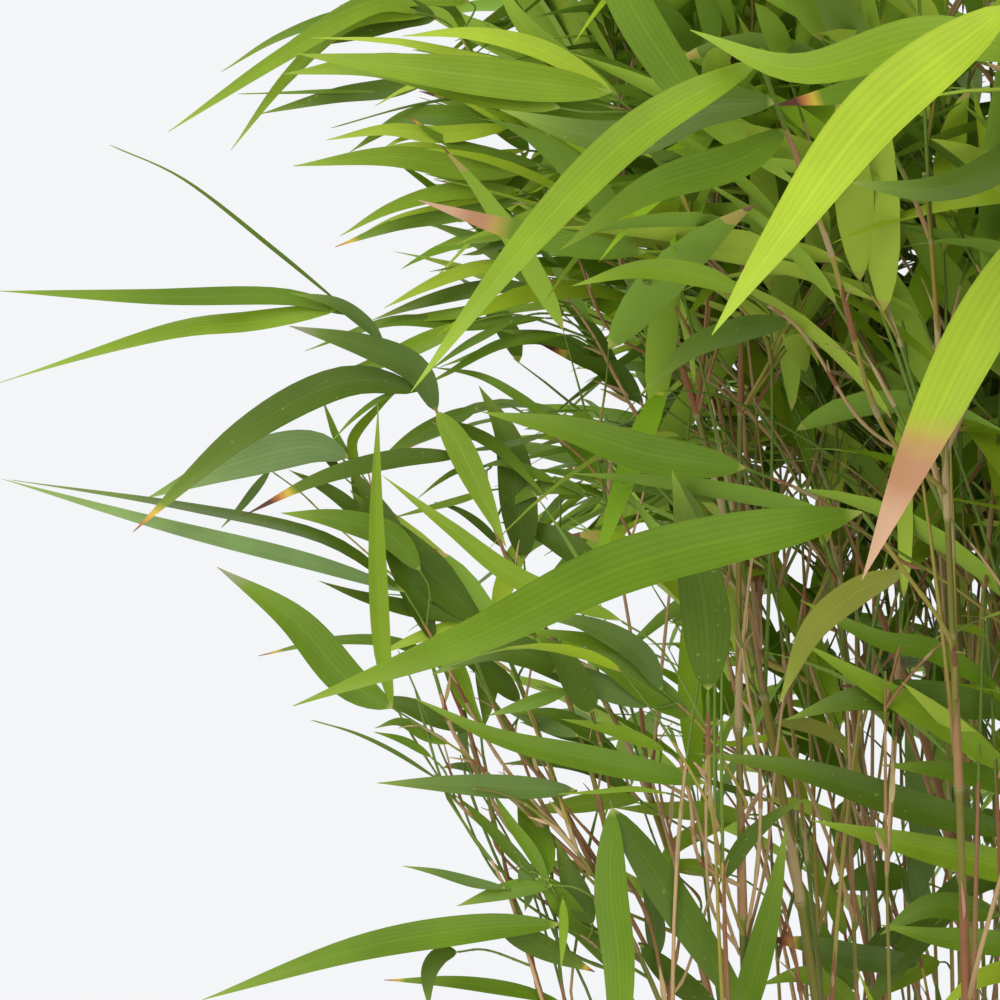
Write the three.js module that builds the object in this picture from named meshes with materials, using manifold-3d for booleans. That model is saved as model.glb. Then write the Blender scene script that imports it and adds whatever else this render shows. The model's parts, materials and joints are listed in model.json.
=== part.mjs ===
import * as THREE from "three";
import { mergeVertices } from "three/addons/utils/BufferGeometryUtils.js";
import Module from "manifold-3d";

// A clump-forming bamboo in a round plastic pot. Millimetres, +Z up, the pot's underside at z = 0.
// Thin canes fan out of the soil like a vase; each cane's top is a mass of foliage of its own.

const wasm = await Module();
wasm.setup();

// Pot: tapered, with a rolled rim and a flat underside.
const POT_HEIGHT = 240;
const POT_FOOT_RADIUS = 105;
const POT_RIM_RADIUS = 140;
const POT_RIM_DEPTH = 22;
const POT_LIP = 6;
const POT_WALL = 3;
const POT_FLOOR = 5;
const POT_SIDES = 36;

const SOIL_TOP = 222;
const CLEAR = 0.3;

// Canes, in rings from the middle of the clump outwards. foot and reach are distances from the
// pot's axis, rise is the height of the cane's top over the soil, uneven how much it varies, sag
// how far the top hangs back as a share of the rise, bare the share of the cane below its foliage
// and turn the ring's first angle.
const RINGS = [
  { count: 4, foot: 22, reach: 72, rise: 795, uneven: 0.05, sag: 0.0, bare: 0.42, turn: 0.25 },
  { count: 7, foot: 52, reach: 172, rise: 710, uneven: 0.1, sag: 0.03, bare: 0.4, turn: 0.55 },
  { count: 9, foot: 80, reach: 240, rise: 580, uneven: 0.14, sag: 0.1, bare: 0.38, turn: 0.1 },
];
const CANE_FOOT_RADIUS = 3.6;
const CANE_BUTT_FLARE = 1.35;
const CANE_TOP_RADIUS = 2.4;
const CANE_SIDES = 5;
const CANE_STEPS = 4;

// Foliage: a four-sided stem, three-sided twigs and ridged leaves, larger than life and fewer.
const STEM_ROOT_RADIUS = 3.1;
const STEM_TIP_RADIUS = 2.9;
const STEM_STEPS = 4;
const NODES_PER_STEM = 5;
const TWIG_LENGTH = 95;
const TWIG_ROOT_RADIUS = 2.0;
const TWIG_TIP_RADIUS = 1.9;
const TWIG_TRIES = 5;
const LEAF_LENGTH = 150;
const LEAF_WIDTH = 26;
const STALK_HALF = 0.7;
const STALK_BELOW = 0.45;
const BLADE_BELOW = 2.2;
const LEAVES_PER_TWIG = 5;
const LEAVES_AT_TOP = 5;
const LEAF_TRIES = 9;
const LEAF_ROLL = 1.1;
const WIDEST_AT = 0.36;
const STALK_SHARE = 0.07;
const FINEST_EDGE = 0.02;
const LEAST_GAP = 0.002;

// Every mass keeps to the space that is nearer to its own cane than to any other, within the
// crown's outer limits.
const CROWN_RADIUS = 400;
const CROWN_FOOT = 465;
const CROWN_TOP = 1155;
const SPACE_MARGIN = 2.5;
const LIMB_MARGIN = 7;
const TRACE_STEPS = 26;

const UP = new THREE.Vector3(0, 0, 1);

// A number from 0 to 1 that depends only on its three keys, so the crown always grows alike.
function chance(cane, item, use) {
  const wave = Math.sin(cane * 127.1 + item * 311.7 + use * 74.7) * 43758.5453;
  return wave - Math.floor(wave);
}

function between(low, high, share) {
  return low + (high - low) * share;
}

function atAngle(radius, angle, z) {
  return new THREE.Vector3(radius * Math.cos(angle), radius * Math.sin(angle), z);
}

// One cane's course: upright out of the soil, then arching outwards.
function caneCourse(ring, place, cane) {
  const step = (2 * Math.PI) / ring.count;
  const angle = ring.turn + step * (place + between(-0.16, 0.16, chance(cane, 1, 1)));
  const bend = between(-0.2, 0.2, chance(cane, 2, 1));
  const reach = ring.reach * between(0.86, 1.12, chance(cane, 3, 1));
  const rise = ring.rise * between(1 - ring.uneven, 1 + ring.uneven, chance(cane, 4, 1));
  const spread = reach - ring.foot;
  const soil = SOIL_TOP + CLEAR;
  return new THREE.CubicBezierCurve3(
    atAngle(ring.foot, angle, soil),
    atAngle(ring.foot + 0.16 * spread, angle, soil + 0.4 * rise),
    atAngle(ring.foot + 0.5 * spread, angle + 0.5 * bend, soil + 0.9 * rise),
    atAngle(reach, angle + bend, soil + rise * (1 - ring.sag)),
  );
}

function allCanes() {
  const canes = [];
  for (const ring of RINGS) {
    for (let place = 0; place < ring.count; place += 1) {
      const index = canes.length;
      const course = caneCourse(ring, place, index);
      canes.push({ index, ring, course, bare: ring.bare, trace: course.getPoints(TRACE_STEPS) });
    }
  }
  return canes;
}

function caneRadius(share) {
  return between(CANE_FOOT_RADIUS, CANE_TOP_RADIUS, share);
}

// Two unit vectors square to a direction, the first as level as it can be.
function crossAxes(along) {
  const guide = Math.abs(along.z) > 0.98 ? new THREE.Vector3(0, 1, 0) : UP;
  const side = new THREE.Vector3().crossVectors(guide, along).normalize();
  const over = new THREE.Vector3().crossVectors(along, side).normalize();
  return [side, over];
}

// A closed tapering limb: rings of corners round a list of centres, capped at both ends. twist
// turns the rings' first corner.
function limb(centres, directions, radii, sides, twist = 0) {
  const corners = [];
  const faces = [];
  centres.forEach((centre, i) => {
    const [side, over] = crossAxes(directions[i]);
    for (let k = 0; k < sides; k += 1) {
      const turn = twist + (2 * Math.PI * k) / sides;
      const corner = centre.clone();
      corner.addScaledVector(side, radii[i] * Math.cos(turn));
      corner.addScaledVector(over, radii[i] * Math.sin(turn));
      corners.push(corner);
    }
  });
  for (let i = 0; i + 1 < centres.length; i += 1) {
    for (let k = 0; k < sides; k += 1) {
      const a = i * sides + k;
      const b = i * sides + ((k + 1) % sides);
      faces.push([a, b, b + sides], [a, b + sides, a + sides]);
    }
  }
  const last = (centres.length - 1) * sides;
  for (let k = 1; k + 1 < sides; k += 1) {
    faces.push([0, k + 1, k], [last, last + k, last + k + 1]);
  }
  return solid(corners, faces);
}

function solid(corners, faces) {
  return new wasm.Manifold(new wasm.Mesh({
    numProp: 3,
    vertProperties: new Float32Array(corners.flatMap((c) => c.toArray())),
    triVerts: new Uint32Array(faces.flat()),
  }));
}

// The bare lower part of a cane, cut flat at the soil and flared a little there.
function caneSolid(cane) {
  const centres = [];
  const directions = [];
  const radii = [];
  for (let i = 0; i <= CANE_STEPS; i += 1) {
    const share = (cane.bare * i) / CANE_STEPS;
    centres.push(cane.course.getPoint(share));
    directions.push(i === 0 ? UP.clone() : cane.course.getTangent(share));
    radii.push(caneRadius(share) * (i === 0 ? CANE_BUTT_FLARE : 1));
  }
  return limb(centres, directions, radii, CANE_SIDES);
}

function distanceToTrace(point, trace, first, last) {
  const part = new THREE.Line3();
  const near = new THREE.Vector3();
  let best = Infinity;
  for (let i = first; i < last; i += 1) {
    part.set(trace[i], trace[i + 1]);
    part.closestPointToPoint(point, true, near);
    best = Math.min(best, near.distanceTo(point));
  }
  return best;
}

// Whether points of a twig or leaf stay in the cane's own space and off its bare part.
function keepsToSpace(points, cane, canes) {
  const bareEnd = Math.floor(cane.bare * TRACE_STEPS) - 1;
  return points.every((point) => {
    if (Math.hypot(point.x, point.y) > CROWN_RADIUS || point.z > CROWN_TOP || point.z < CROWN_FOOT) {
      return false;
    }
    if (distanceToTrace(point, cane.trace, 0, bareEnd) < LIMB_MARGIN) {
      return false;
    }
    const own = distanceToTrace(point, cane.trace, 0, TRACE_STEPS);
    return canes.every((other) => other === cane
      || distanceToTrace(point, other.trace, 0, TRACE_STEPS) > own + SPACE_MARGIN);
  });
}

// A leaf: a three-cornered stalk end, two corners where it is widest and one tip; flat beneath,
// with a ridge along the top.
function leafCorners(root, along, roll, length) {
  const [side, over] = crossAxes(along);
  const across = side.clone().multiplyScalar(Math.cos(roll)).addScaledVector(over, Math.sin(roll));
  const above = new THREE.Vector3().crossVectors(across, along).negate();
  if (above.z < 0) {
    across.negate();
    above.negate();
  }
  const half = (LEAF_WIDTH / 2) * Math.min(1, 0.5 + (0.5 * length) / LEAF_LENGTH);
  const at = (forward, sideways, upwards) => root.clone()
    .addScaledVector(along, forward)
    .addScaledVector(across, sideways)
    .addScaledVector(above, upwards);
  return [
    at(0, 0, STALK_HALF),
    at(0, -STALK_HALF, -STALK_BELOW),
    at(0, STALK_HALF, -STALK_BELOW),
    at(WIDEST_AT * length, -half, -BLADE_BELOW),
    at(WIDEST_AT * length, half, -BLADE_BELOW),
    at(length, 0, -BLADE_BELOW),
  ];
}

const LEAF_FACES = [
  [0, 3, 5], [0, 5, 4], [0, 1, 3], [0, 4, 2], [1, 4, 3], [1, 2, 4], [3, 4, 5], [0, 2, 1],
];

function leafReach(corners) {
  const [, , , left, right, tip] = corners;
  return [
    left, right, tip,
    left.clone().lerp(tip, 0.5),
    right.clone().lerp(tip, 0.5),
    left.clone().lerp(right, 0.5),
  ];
}

// Whether the leaf beyond its stalk end is clear of all that the mass holds so far.
function isClear(corners, whole) {
  const start = corners.slice(0, 3).map((corner) => corner.clone().lerp(corners[5], STALK_SHARE));
  return whole.intersect(solid([...start, ...corners.slice(3)], LEAF_FACES)).isEmpty();
}

// Whether a solid's corners all stay apart, so that no two of them run together when rounded.
function isSound(whole) {
  const { vertProperties: xyz } = whole.getMesh();
  const order = [...Array(xyz.length / 3).keys()].sort((a, b) => xyz[3 * a] - xyz[3 * b]);
  return order.every((a, i) => {
    for (let j = i + 1; j < order.length && xyz[3 * order[j]] - xyz[3 * a] < LEAST_GAP; j += 1) {
      const b = order[j];
      const apart = Math.hypot(xyz[3 * a + 1] - xyz[3 * b + 1], xyz[3 * a + 2] - xyz[3 * b + 2]);
      if (apart < LEAST_GAP) {
        return false;
      }
    }
    return true;
  });
}

// The mass with one more limb or leaf fused on, or null where their corners meet too closely.
function fused(whole, part) {
  const joined = whole.add(part).simplify(FINEST_EDGE);
  return isSound(joined) ? joined : null;
}

// A leaf's heading: along its twig, swung to one side in turn, outwards and drooping; the more
// tries it takes, the further the side may turn round the twig.
function leafHeading(twig, cane, key, k, attempt) {
  const [side, over] = crossAxes(twig.along);
  const range = 0.5 + 0.35 * attempt;
  const turn = Math.PI * (k % 2) + between(-range, range, chance(cane.index, key, 5));
  const swing = k === 0 ? 0.15 : between(0.4, 1.1, chance(cane.index, key, 7));
  const droop = between(-0.1, 0.6, chance(cane.index, key, 8));
  return twig.along.clone()
    .addScaledVector(side, swing * Math.cos(turn))
    .addScaledVector(over, swing * Math.sin(turn))
    .addScaledVector(twig.away, 0.25)
    .addScaledVector(UP, -droop)
    .normalize();
}

// The mass with a twig's leaves added. A leaf that leaves its space or meets another is tried
// again shorter and turned, and left out if no try fits.
function withLeaves(whole, twig, count, cane, canes) {
  let grown = whole;
  for (let k = 0; k < count; k += 1) {
    const root = twig.root.clone().lerp(twig.tip, 1 - 0.15 * k);
    if (k === 0) {
      root.addScaledVector(twig.along, -5);
    }
    for (let attempt = 0; attempt < LEAF_TRIES; attempt += 1) {
      const key = twig.item * 80 + k * 10 + attempt;
      const along = leafHeading(twig, cane, key, k, attempt);
      const roll = between(-LEAF_ROLL, LEAF_ROLL, chance(cane.index, key, 9));
      const corners = leafCorners(root, along, roll, LEAF_LENGTH * (1 - 0.06 * attempt));
      if (keepsToSpace(leafReach(corners), cane, canes) && isClear(corners, grown)) {
        const joined = fused(grown, solid(corners, LEAF_FACES));
        if (joined) {
          grown = joined;
          break;
        }
      }
    }
  }
  return grown;
}

// A straight twig that slants off the stem, turned and shortened until it keeps to its space.
function growTwig(cane, canes, item) {
  const share = between(cane.bare, 1, (item + 0.35 + 0.4 * chance(cane.index, item, 4)) / NODES_PER_STEM);
  const root = cane.course.getPoint(share);
  const stem = cane.course.getTangent(share);
  const [side, over] = crossAxes(stem);
  const away = root.clone().setZ(0).normalize();
  for (let attempt = 0; attempt < TWIG_TRIES; attempt += 1) {
    const key = item * 8 + attempt;
    const turn = 2.4 * item + 1.3 * attempt + 6.283 * chance(cane.index, 5, 1);
    const along = stem.clone()
      .addScaledVector(side, Math.cos(turn))
      .addScaledVector(over, Math.sin(turn))
      .addScaledVector(away, 0.4)
      .normalize();
    const length = TWIG_LENGTH * between(1, 0.75, share) * (1.1 - 0.12 * attempt);
    const tip = root.clone().addScaledVector(along, length * between(0.85, 1.1, chance(cane.index, key, 6)));
    const middle = root.clone().lerp(tip, 0.5);
    if (keepsToSpace([middle, tip], cane, canes)) {
      return { root, tip, along, away, item };
    }
  }
  return null;
}

// A mass of foliage: the cane's own top as its stem, twigs at its nodes, leaves on the twigs.
function foliageSolid(cane, canes) {
  const centres = [];
  const directions = [];
  const stemRadii = [];
  for (let i = 0; i <= STEM_STEPS; i += 1) {
    const share = between(cane.bare, 1, i / STEM_STEPS);
    const along = cane.course.getTangent(share);
    const centre = cane.course.getPoint(share);
    centres.push(i === 0 ? centre.addScaledVector(along, CLEAR) : centre);
    directions.push(along);
    stemRadii.push(between(STEM_ROOT_RADIUS, STEM_TIP_RADIUS, i / STEM_STEPS));
  }
  let whole = limb(centres, directions, stemRadii, 4, 0.3);
  const twigs = [];
  for (let item = 0; item < NODES_PER_STEM; item += 1) {
    const twig = growTwig(cane, canes, item);
    if (twig) {
      const radii = [TWIG_ROOT_RADIUS, TWIG_TIP_RADIUS];
      const ends = [twig.root, twig.tip];
      const joined = fused(whole, limb(ends, [twig.along, twig.along], radii, 3, 0.4 + item));
      if (joined) {
        whole = joined;
        twigs.push(twig);
      }
    }
  }
  const top = {
    root: cane.course.getPoint(0.85),
    tip: cane.course.getPoint(1),
    along: cane.course.getTangent(1),
    away: cane.course.getPoint(1).setZ(0).normalize(),
    item: NODES_PER_STEM,
  };
  whole = withLeaves(whole, top, LEAVES_AT_TOP, cane, canes);
  for (const twig of twigs) {
    whole = withLeaves(whole, twig, LEAVES_PER_TWIG, cane, canes);
  }
  return largestBody(whole);
}

// The outer body alone: sealed hollows are filled and loose scraps dropped.
function largestBody(whole) {
  return whole.decompose().reduce((a, b) => (b.volume() > a.volume() ? b : a));
}

function toGeometry(manifold) {
  const mesh = manifold.getMesh();
  const geometry = new THREE.BufferGeometry();
  geometry.setAttribute("position", new THREE.BufferAttribute(mesh.vertProperties, 3));
  geometry.setIndex(new THREE.BufferAttribute(mesh.triVerts, 1));
  return geometry;
}

function lathe(profile) {
  const points = profile.map(([radius, z]) => new THREE.Vector2(radius, z));
  const geometry = new THREE.LatheGeometry(points, POT_SIDES);
  geometry.rotateX(Math.PI / 2);
  geometry.deleteAttribute("normal");
  geometry.deleteAttribute("uv");
  return mergeVertices(geometry, 1e-3);
}

// Radius of the pot's outer wall under the rim.
function wallRadius(z) {
  return between(POT_FOOT_RADIUS, POT_RIM_RADIUS - POT_LIP, z / POT_HEIGHT);
}

function potGeometry() {
  const rimFoot = POT_HEIGHT - POT_RIM_DEPTH;
  const inner = (z) => wallRadius(z) - POT_WALL;
  return lathe([
    [0, 0],
    [POT_FOOT_RADIUS - 3, 0],
    [wallRadius(3), 3],
    [wallRadius(rimFoot), rimFoot],
    [POT_RIM_RADIUS - 1, rimFoot + 1],
    [POT_RIM_RADIUS, rimFoot + 3],
    [POT_RIM_RADIUS, POT_HEIGHT - 3],
    [POT_RIM_RADIUS - 3, POT_HEIGHT],
    [inner(POT_HEIGHT) + 1, POT_HEIGHT],
    [inner(POT_HEIGHT), POT_HEIGHT - 1],
    [inner(POT_FLOOR), POT_FLOOR],
    [0, POT_FLOOR],
  ]);
}

function soilGeometry() {
  const edge = (z) => wallRadius(z) - POT_WALL - CLEAR;
  const floor = POT_FLOOR + CLEAR;
  return lathe([[0, floor], [edge(floor), floor], [edge(SOIL_TOP), SOIL_TOP], [0, SOIL_TOP]]);
}

const group = new THREE.Group();

function add(name, geometry, color, roughness) {
  const material = new THREE.MeshStandardMaterial({ color, roughness, metalness: 0 });
  const mesh = new THREE.Mesh(geometry, material);
  mesh.name = name;
  group.add(mesh);
}

add("pot", potGeometry(), 0x3a3d3f, 0.6);
add("soil", soilGeometry(), 0x3b2a1e, 0.95);

const canes = allCanes();
for (const cane of canes) {
  const number = String(cane.index + 1).padStart(2, "0");
  add(`cane_${number}`, toGeometry(caneSolid(cane)), 0x7f7a3c, 0.55);
  add(`foliage_${number}`, toGeometry(foliageSolid(cane, canes)), 0x567f34, 0.6);
}

export default group;
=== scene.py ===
"""A potted clump-forming bamboo: canes, sheaths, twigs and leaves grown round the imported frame."""

import json
import math

import bpy
import numpy as np
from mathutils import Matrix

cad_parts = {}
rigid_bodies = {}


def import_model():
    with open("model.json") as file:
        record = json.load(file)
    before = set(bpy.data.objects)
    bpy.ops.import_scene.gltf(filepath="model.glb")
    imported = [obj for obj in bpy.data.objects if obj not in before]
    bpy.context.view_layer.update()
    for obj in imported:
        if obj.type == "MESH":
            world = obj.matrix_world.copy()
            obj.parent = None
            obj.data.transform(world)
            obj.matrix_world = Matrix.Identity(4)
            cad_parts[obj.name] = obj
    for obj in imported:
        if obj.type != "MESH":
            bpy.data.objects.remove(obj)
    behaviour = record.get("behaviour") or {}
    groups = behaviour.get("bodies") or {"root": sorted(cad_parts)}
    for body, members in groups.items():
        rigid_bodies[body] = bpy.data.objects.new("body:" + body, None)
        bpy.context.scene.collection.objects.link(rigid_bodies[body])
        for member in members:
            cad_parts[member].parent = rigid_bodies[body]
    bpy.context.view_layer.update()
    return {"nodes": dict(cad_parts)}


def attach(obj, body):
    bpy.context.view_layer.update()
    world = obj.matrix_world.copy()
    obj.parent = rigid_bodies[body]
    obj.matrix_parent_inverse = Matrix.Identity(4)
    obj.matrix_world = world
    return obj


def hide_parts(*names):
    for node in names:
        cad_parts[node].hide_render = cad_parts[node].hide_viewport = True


bl_info = {
    "name": "Potted Bamboo",
    "version": (1, 0, 0),
    "blender": (4, 5, 0),
    "location": "View3D > Sidebar > Bamboo",
    "description": "Grows a clump-forming bamboo in a plain round pot",
    "category": "Add Mesh",
}

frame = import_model()

# Lengths are millimetres until they reach a mesh, but for those of the studio.
METRE = 1000
MILLIMETRE = 0.001

# The canes' courses, as the solids have them.
SOIL_TOP = 222.0
CLEAR = 0.3
CANE_FOOT = SOIL_TOP - 4.0
CANE_RINGS = (
    {"count": 4, "foot": 22, "reach": 72, "rise": 795, "uneven": 0.05, "sag": 0.0, "turn": 0.25},
    {"count": 7, "foot": 52, "reach": 172, "rise": 710, "uneven": 0.1, "sag": 0.03, "turn": 0.55},
    {"count": 9, "foot": 80, "reach": 240, "rise": 580, "uneven": 0.14, "sag": 0.1, "turn": 0.1},
)
CROWN_RADIUS = 405.0
CROWN_FOOT = 462.0
CROWN_TOP = 1160.0

POT_HEIGHT = 240.0
POT_FOOT_RADIUS = 105.0
POT_RIM_RADIUS = 140.0
POT_RIM_DEPTH = 22.0
POT_LIP = 6.0
POT_WALL = 3.0
POT_FLOOR = 5.0

# The photograph's view: the plant's axis is at this column, and the plane of focus passes
# through it.
VIEW_DISTANCE = 800.0
PIXEL = 0.38
AXIS_COLUMN = 1060.0
CENTRE_HEIGHT = 793.0
PICTURE_SIZE = 1000
PICTURE_MIDDLE = 500.0
CENTRE_X = (PICTURE_MIDDLE - AXIS_COLUMN) * PIXEL
EYE = np.array([CENTRE_X, -VIEW_DISTANCE, CENTRE_HEIGHT])

FOLIAGE_NODES = [name for name in frame["nodes"] if name.startswith("foliage")]
CANE_NODES = [name for name in frame["nodes"] if name.startswith("cane")]
UP = np.array([0.0, 0.0, 1.0])
FULL_TURN = 6.283


# ---- Numbers and vectors -------------------------------------------------------------------


def chance(cane, item, use):
    """A number from 0 to 1 that depends only on its three keys: the fraction of a steep sine.
    The keys are the number of a cane or other part, the number of the draw and its use."""
    wave = np.sin(np.asarray(cane) * 127.1 + np.asarray(item) * 311.7 + use * 74.7) * 43758.5453
    return wave - np.floor(wave)


def between(low, high, share):
    """The value a share of the way from low to high."""
    return low + (high - low) * share


def vary(low, high, cane, item, use):
    """A value between low and high that depends only on the three keys of chance."""
    return between(low, high, chance(cane, item, use))


def unit(vectors):
    """Vectors scaled to length one."""
    return vectors / np.maximum(np.linalg.norm(vectors, axis=-1, keepdims=True), 1e-12)


def square_to(vectors, along):
    """The part of each vector that is square to a direction, scaled to length one."""
    return unit(vectors - np.sum(vectors * along, axis=-1, keepdims=True) * along)


def outwards(points):
    """Level unit vectors from the pot's axis through points."""
    return unit(points * np.array([1.0, 1.0, 0.0]) + np.array([1e-6, 0.0, 0.0]))


def round_axis(radius, angle, height):
    """Points at radii, angles and heights round the pot's axis."""
    return np.stack([radius * np.cos(angle), radius * np.sin(angle), height], axis=-1)


def circle(sides):
    """The angles of corners spread evenly round a circle."""
    return np.arange(sides) * 2 * np.pi / sides


def turned(first, second, turn):
    """The direction at an angle from the first of two square directions towards the second."""
    return first * np.cos(turn)[..., None] + second * np.sin(turn)[..., None]


def every_pair(*ranges):
    """Every combination of the members of ranges, as one flat array for each range."""
    return (grid.ravel() for grid in np.meshgrid(*ranges, indexing="ij"))


def through(points, rows):
    """A smooth path through given points, sampled at rows places evenly along it: between each
    pair of points a cubic whose slopes are half the span of the points on either side."""
    points = np.asarray(points, dtype=float)
    ahead = np.concatenate([points[1:], [2 * points[-1] - points[-2]]])
    behind = np.concatenate([[2 * points[0] - points[1]], points[:-1]])
    slope = (ahead - behind) / 2
    t = np.linspace(0, 1, 24, endpoint=False)[None, :, None]
    p, q, m, n = points[:-1, None], points[1:, None], slope[:-1, None], slope[1:, None]
    fine = (
        (2 * t**3 - 3 * t**2 + 1) * p + (t**3 - 2 * t**2 + t) * m
        + (3 * t**2 - 2 * t**3) * q + (t**3 - t**2) * n
    ).reshape(-1, points.shape[1])
    fine = np.concatenate([fine, points[-1:]])
    steps = np.linalg.norm(np.diff(fine, axis=0), axis=1)
    travelled = np.concatenate([[0.0], np.cumsum(steps)])
    marks = np.linspace(0, travelled[-1], rows)
    return np.stack([np.interp(marks, travelled, part) for part in fine.T], axis=-1)


# ---- Meshes --------------------------------------------------------------------------------


def add_piece(name, corners, face_sets, materials, slots=None, uvs=None, sharp=None):
    """One mesh object from an array of corners in millimetres and arrays of faces, one array for
    each number of sides. slots and uvs run over all faces and all face corners in that order.
    Edges stay sharp where faces meet at more than the sharp angle, in degrees."""
    mesh = bpy.data.meshes.new(name)
    corners = np.asarray(corners, dtype=np.float32).reshape(-1, 3) * MILLIMETRE
    mesh.vertices.add(len(corners))
    mesh.vertices.foreach_set("co", corners.ravel())
    loops = np.concatenate([faces.ravel() for faces in face_sets])
    sizes = np.concatenate([np.full(len(faces), faces.shape[1]) for faces in face_sets])
    mesh.loops.add(len(loops))
    mesh.loops.foreach_set("vertex_index", loops.astype(np.int32))
    mesh.polygons.add(len(sizes))
    mesh.polygons.foreach_set("loop_start", (np.cumsum(sizes) - sizes).astype(np.int32))
    for material in materials:
        mesh.materials.append(material)
    if slots is not None:
        mesh.polygons.foreach_set("material_index", np.concatenate(slots).astype(np.int32))
    if uvs is not None:
        layer = mesh.uv_layers.new(name="along")
        layer.data.foreach_set("uv", np.asarray(uvs, dtype=np.float32).ravel())
    mesh.update(calc_edges=True)
    if mesh.validate():
        raise RuntimeError(f"{name} has faces that don't hold together")
    mesh.shade_smooth()
    if sharp is not None:
        mesh.set_sharp_from_angle(angle=math.radians(sharp))
    piece = bpy.data.objects.new(name, mesh)
    bpy.context.collection.objects.link(piece)
    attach(piece, "root")
    return piece


def there_and_back(across):
    """Places across a blade and back again, without the two ends twice."""
    return np.concatenate([across, across[-2:0:-1]])


def grid_faces(copies, rows, columns):
    """Quads of many tubes, each rows rings of columns corners, closed round the columns."""
    row, column = np.meshgrid(np.arange(rows - 1), np.arange(columns), indexing="ij")
    a = row * columns + column
    b = row * columns + (column + 1) % columns
    quads = np.stack([a, b, b + columns, a + columns], axis=-1).reshape(-1, 4)
    return (quads[None] + np.arange(copies)[:, None, None] * rows * columns).reshape(-1, 4)


def cap_faces(copies, rows, columns):
    """The first ring reversed and the last ring as they are, so both caps face outwards."""
    first = np.arange(columns)[::-1]
    last = np.arange(columns) + (rows - 1) * columns
    both = np.stack([first, last])
    return (both[None] + np.arange(copies)[:, None, None] * rows * columns).reshape(-1, columns)


def ring_frames(points, hint):
    """Directions along paths of points, with two unit vectors square to them. The first is the
    hint made square to the path, so a ring doesn't turn from one point to the next."""
    along = unit(np.gradient(points, axis=-2))
    side = square_to(np.broadcast_to(hint[:, None, :], points.shape), along)
    return along, side, np.cross(along, side)


def tubes(points, radii, hint, sides):
    """Round tubes carried along paths: each corner is the path's point plus the radius times the
    cosine and sine of its angle along the two square directions."""
    along, side, over = ring_frames(points, hint)
    ring = turned(side[:, :, None, :], over[:, :, None, :], circle(sides))
    return points[:, :, None, :] + radii[:, :, None, None] * ring


def lathe(profile, sides):
    """A surface of revolution: each profile point, given as radius and height, becomes a ring
    of corners round the Z axis."""
    radius, height = np.asarray(profile, dtype=float).T[..., None]
    turn = circle(sides)
    return round_axis(radius, turn, height + 0 * turn)


# ---- Shaders -------------------------------------------------------------------------------


def operator(operation, other_first=False):
    """A method of Value that adds a Math node, with the other operand second or first."""

    def reckoned(value, other=0.0):
        operands = (other, value) if other_first else (value, other)
        return value.reckon(operation, *operands)

    return reckoned


class Value:
    """A shader socket that can be reckoned with: each operator adds a Math node."""

    def __init__(self, shader, socket):
        self.shader = shader
        self.socket = socket

    def reckon(self, operation, first, second, clip=False):
        """The value of a Math node with two inputs, each a number or a Value."""
        settings = {"operation": operation, "use_clamp": clip}
        return self.shader.node("ShaderNodeMath", settings, {0: first, 1: second})["Value"]

    __add__ = operator("ADD")
    __radd__ = operator("ADD", other_first=True)
    __sub__ = operator("SUBTRACT")
    __rsub__ = operator("SUBTRACT", other_first=True)
    __mul__ = operator("MULTIPLY")
    __pow__ = operator("POWER")
    sine = operator("SINE")
    fraction = operator("FRACT")
    size = operator("ABSOLUTE")

    def clipped(self):
        """The value held between 0 and 1."""
        return self.reckon("MULTIPLY", self, 1.0, clip=True)


class Shader:
    """A material under construction: a Principled shader and the nodes that feed it."""

    def __init__(self, name, color, roughness, specular=0.5):
        self.material = bpy.data.materials.new(name)
        self.material.use_nodes = True
        self.material.diffuse_color = (*color, 1.0)
        self.tree = self.material.node_tree
        self.main = self.tree.nodes["Principled BSDF"]
        self.main.inputs["Base Color"].default_value = (*color, 1.0)
        self.main.inputs["Roughness"].default_value = roughness
        self.main.inputs["Specular IOR Level"].default_value = specular

    def node(self, kind, settings, inputs):
        """A node of a kind: its settings first, then its sockets' values or links. It returns
        the node's outputs by name."""
        made = self.tree.nodes.new(kind)
        for label, value in settings.items():
            setattr(made, label, value)
        for label, value in inputs.items():
            socket = made.inputs[label]
            if isinstance(value, Value):
                self.tree.links.new(value.socket, socket)
            else:
                socket.default_value = value
        return {out.name: Value(self, out) for out in made.outputs}

    def place(self):
        """The piece's own coordinates."""
        return self.node("ShaderNodeTexCoord", {}, {})["Object"]

    def along(self):
        """The piece's own UV map, as across and along."""
        uv = self.node("ShaderNodeUVMap", {"uv_map": "along"}, {})["UV"]
        parts = self.node("ShaderNodeSeparateXYZ", {}, {"Vector": uv})
        return parts["X"], parts["Y"]

    def noise(self, scale, detail):
        """Clouds of a scale in the piece's own coordinates, from 0 to 1."""
        inputs = {"Vector": self.place(), "Scale": scale, "Detail": detail}
        return self.node("ShaderNodeTexNoise", {}, inputs)["Fac"]

    def blend(self, factor, first, second):
        """Two colours mixed by a factor. A Mix node's sockets of one name differ by number."""
        made = self.tree.nodes.new("ShaderNodeMix")
        made.data_type = "RGBA"
        for number, value in zip((0, 6, 7), (factor, first, second)):
            socket = made.inputs[number]
            if isinstance(value, Value):
                self.tree.links.new(value.socket, socket)
            elif isinstance(value, tuple):
                socket.default_value = (*value, 1.0)
            else:
                socket.default_value = value
        return Value(self, made.outputs[2])

    def feed(self, label, value):
        """Link a value to an input of the Principled shader."""
        self.tree.links.new(value.socket, self.main.inputs[label])

    def bump(self, height, strength, distance):
        """Roughen the surface by a height; the distance is in metres."""
        inputs = {"Height": height, "Strength": strength, "Distance": distance}
        self.feed("Normal", self.node("ShaderNodeBump", {}, inputs)["Normal"])


# ---- Settings ------------------------------------------------------------------------------


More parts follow.
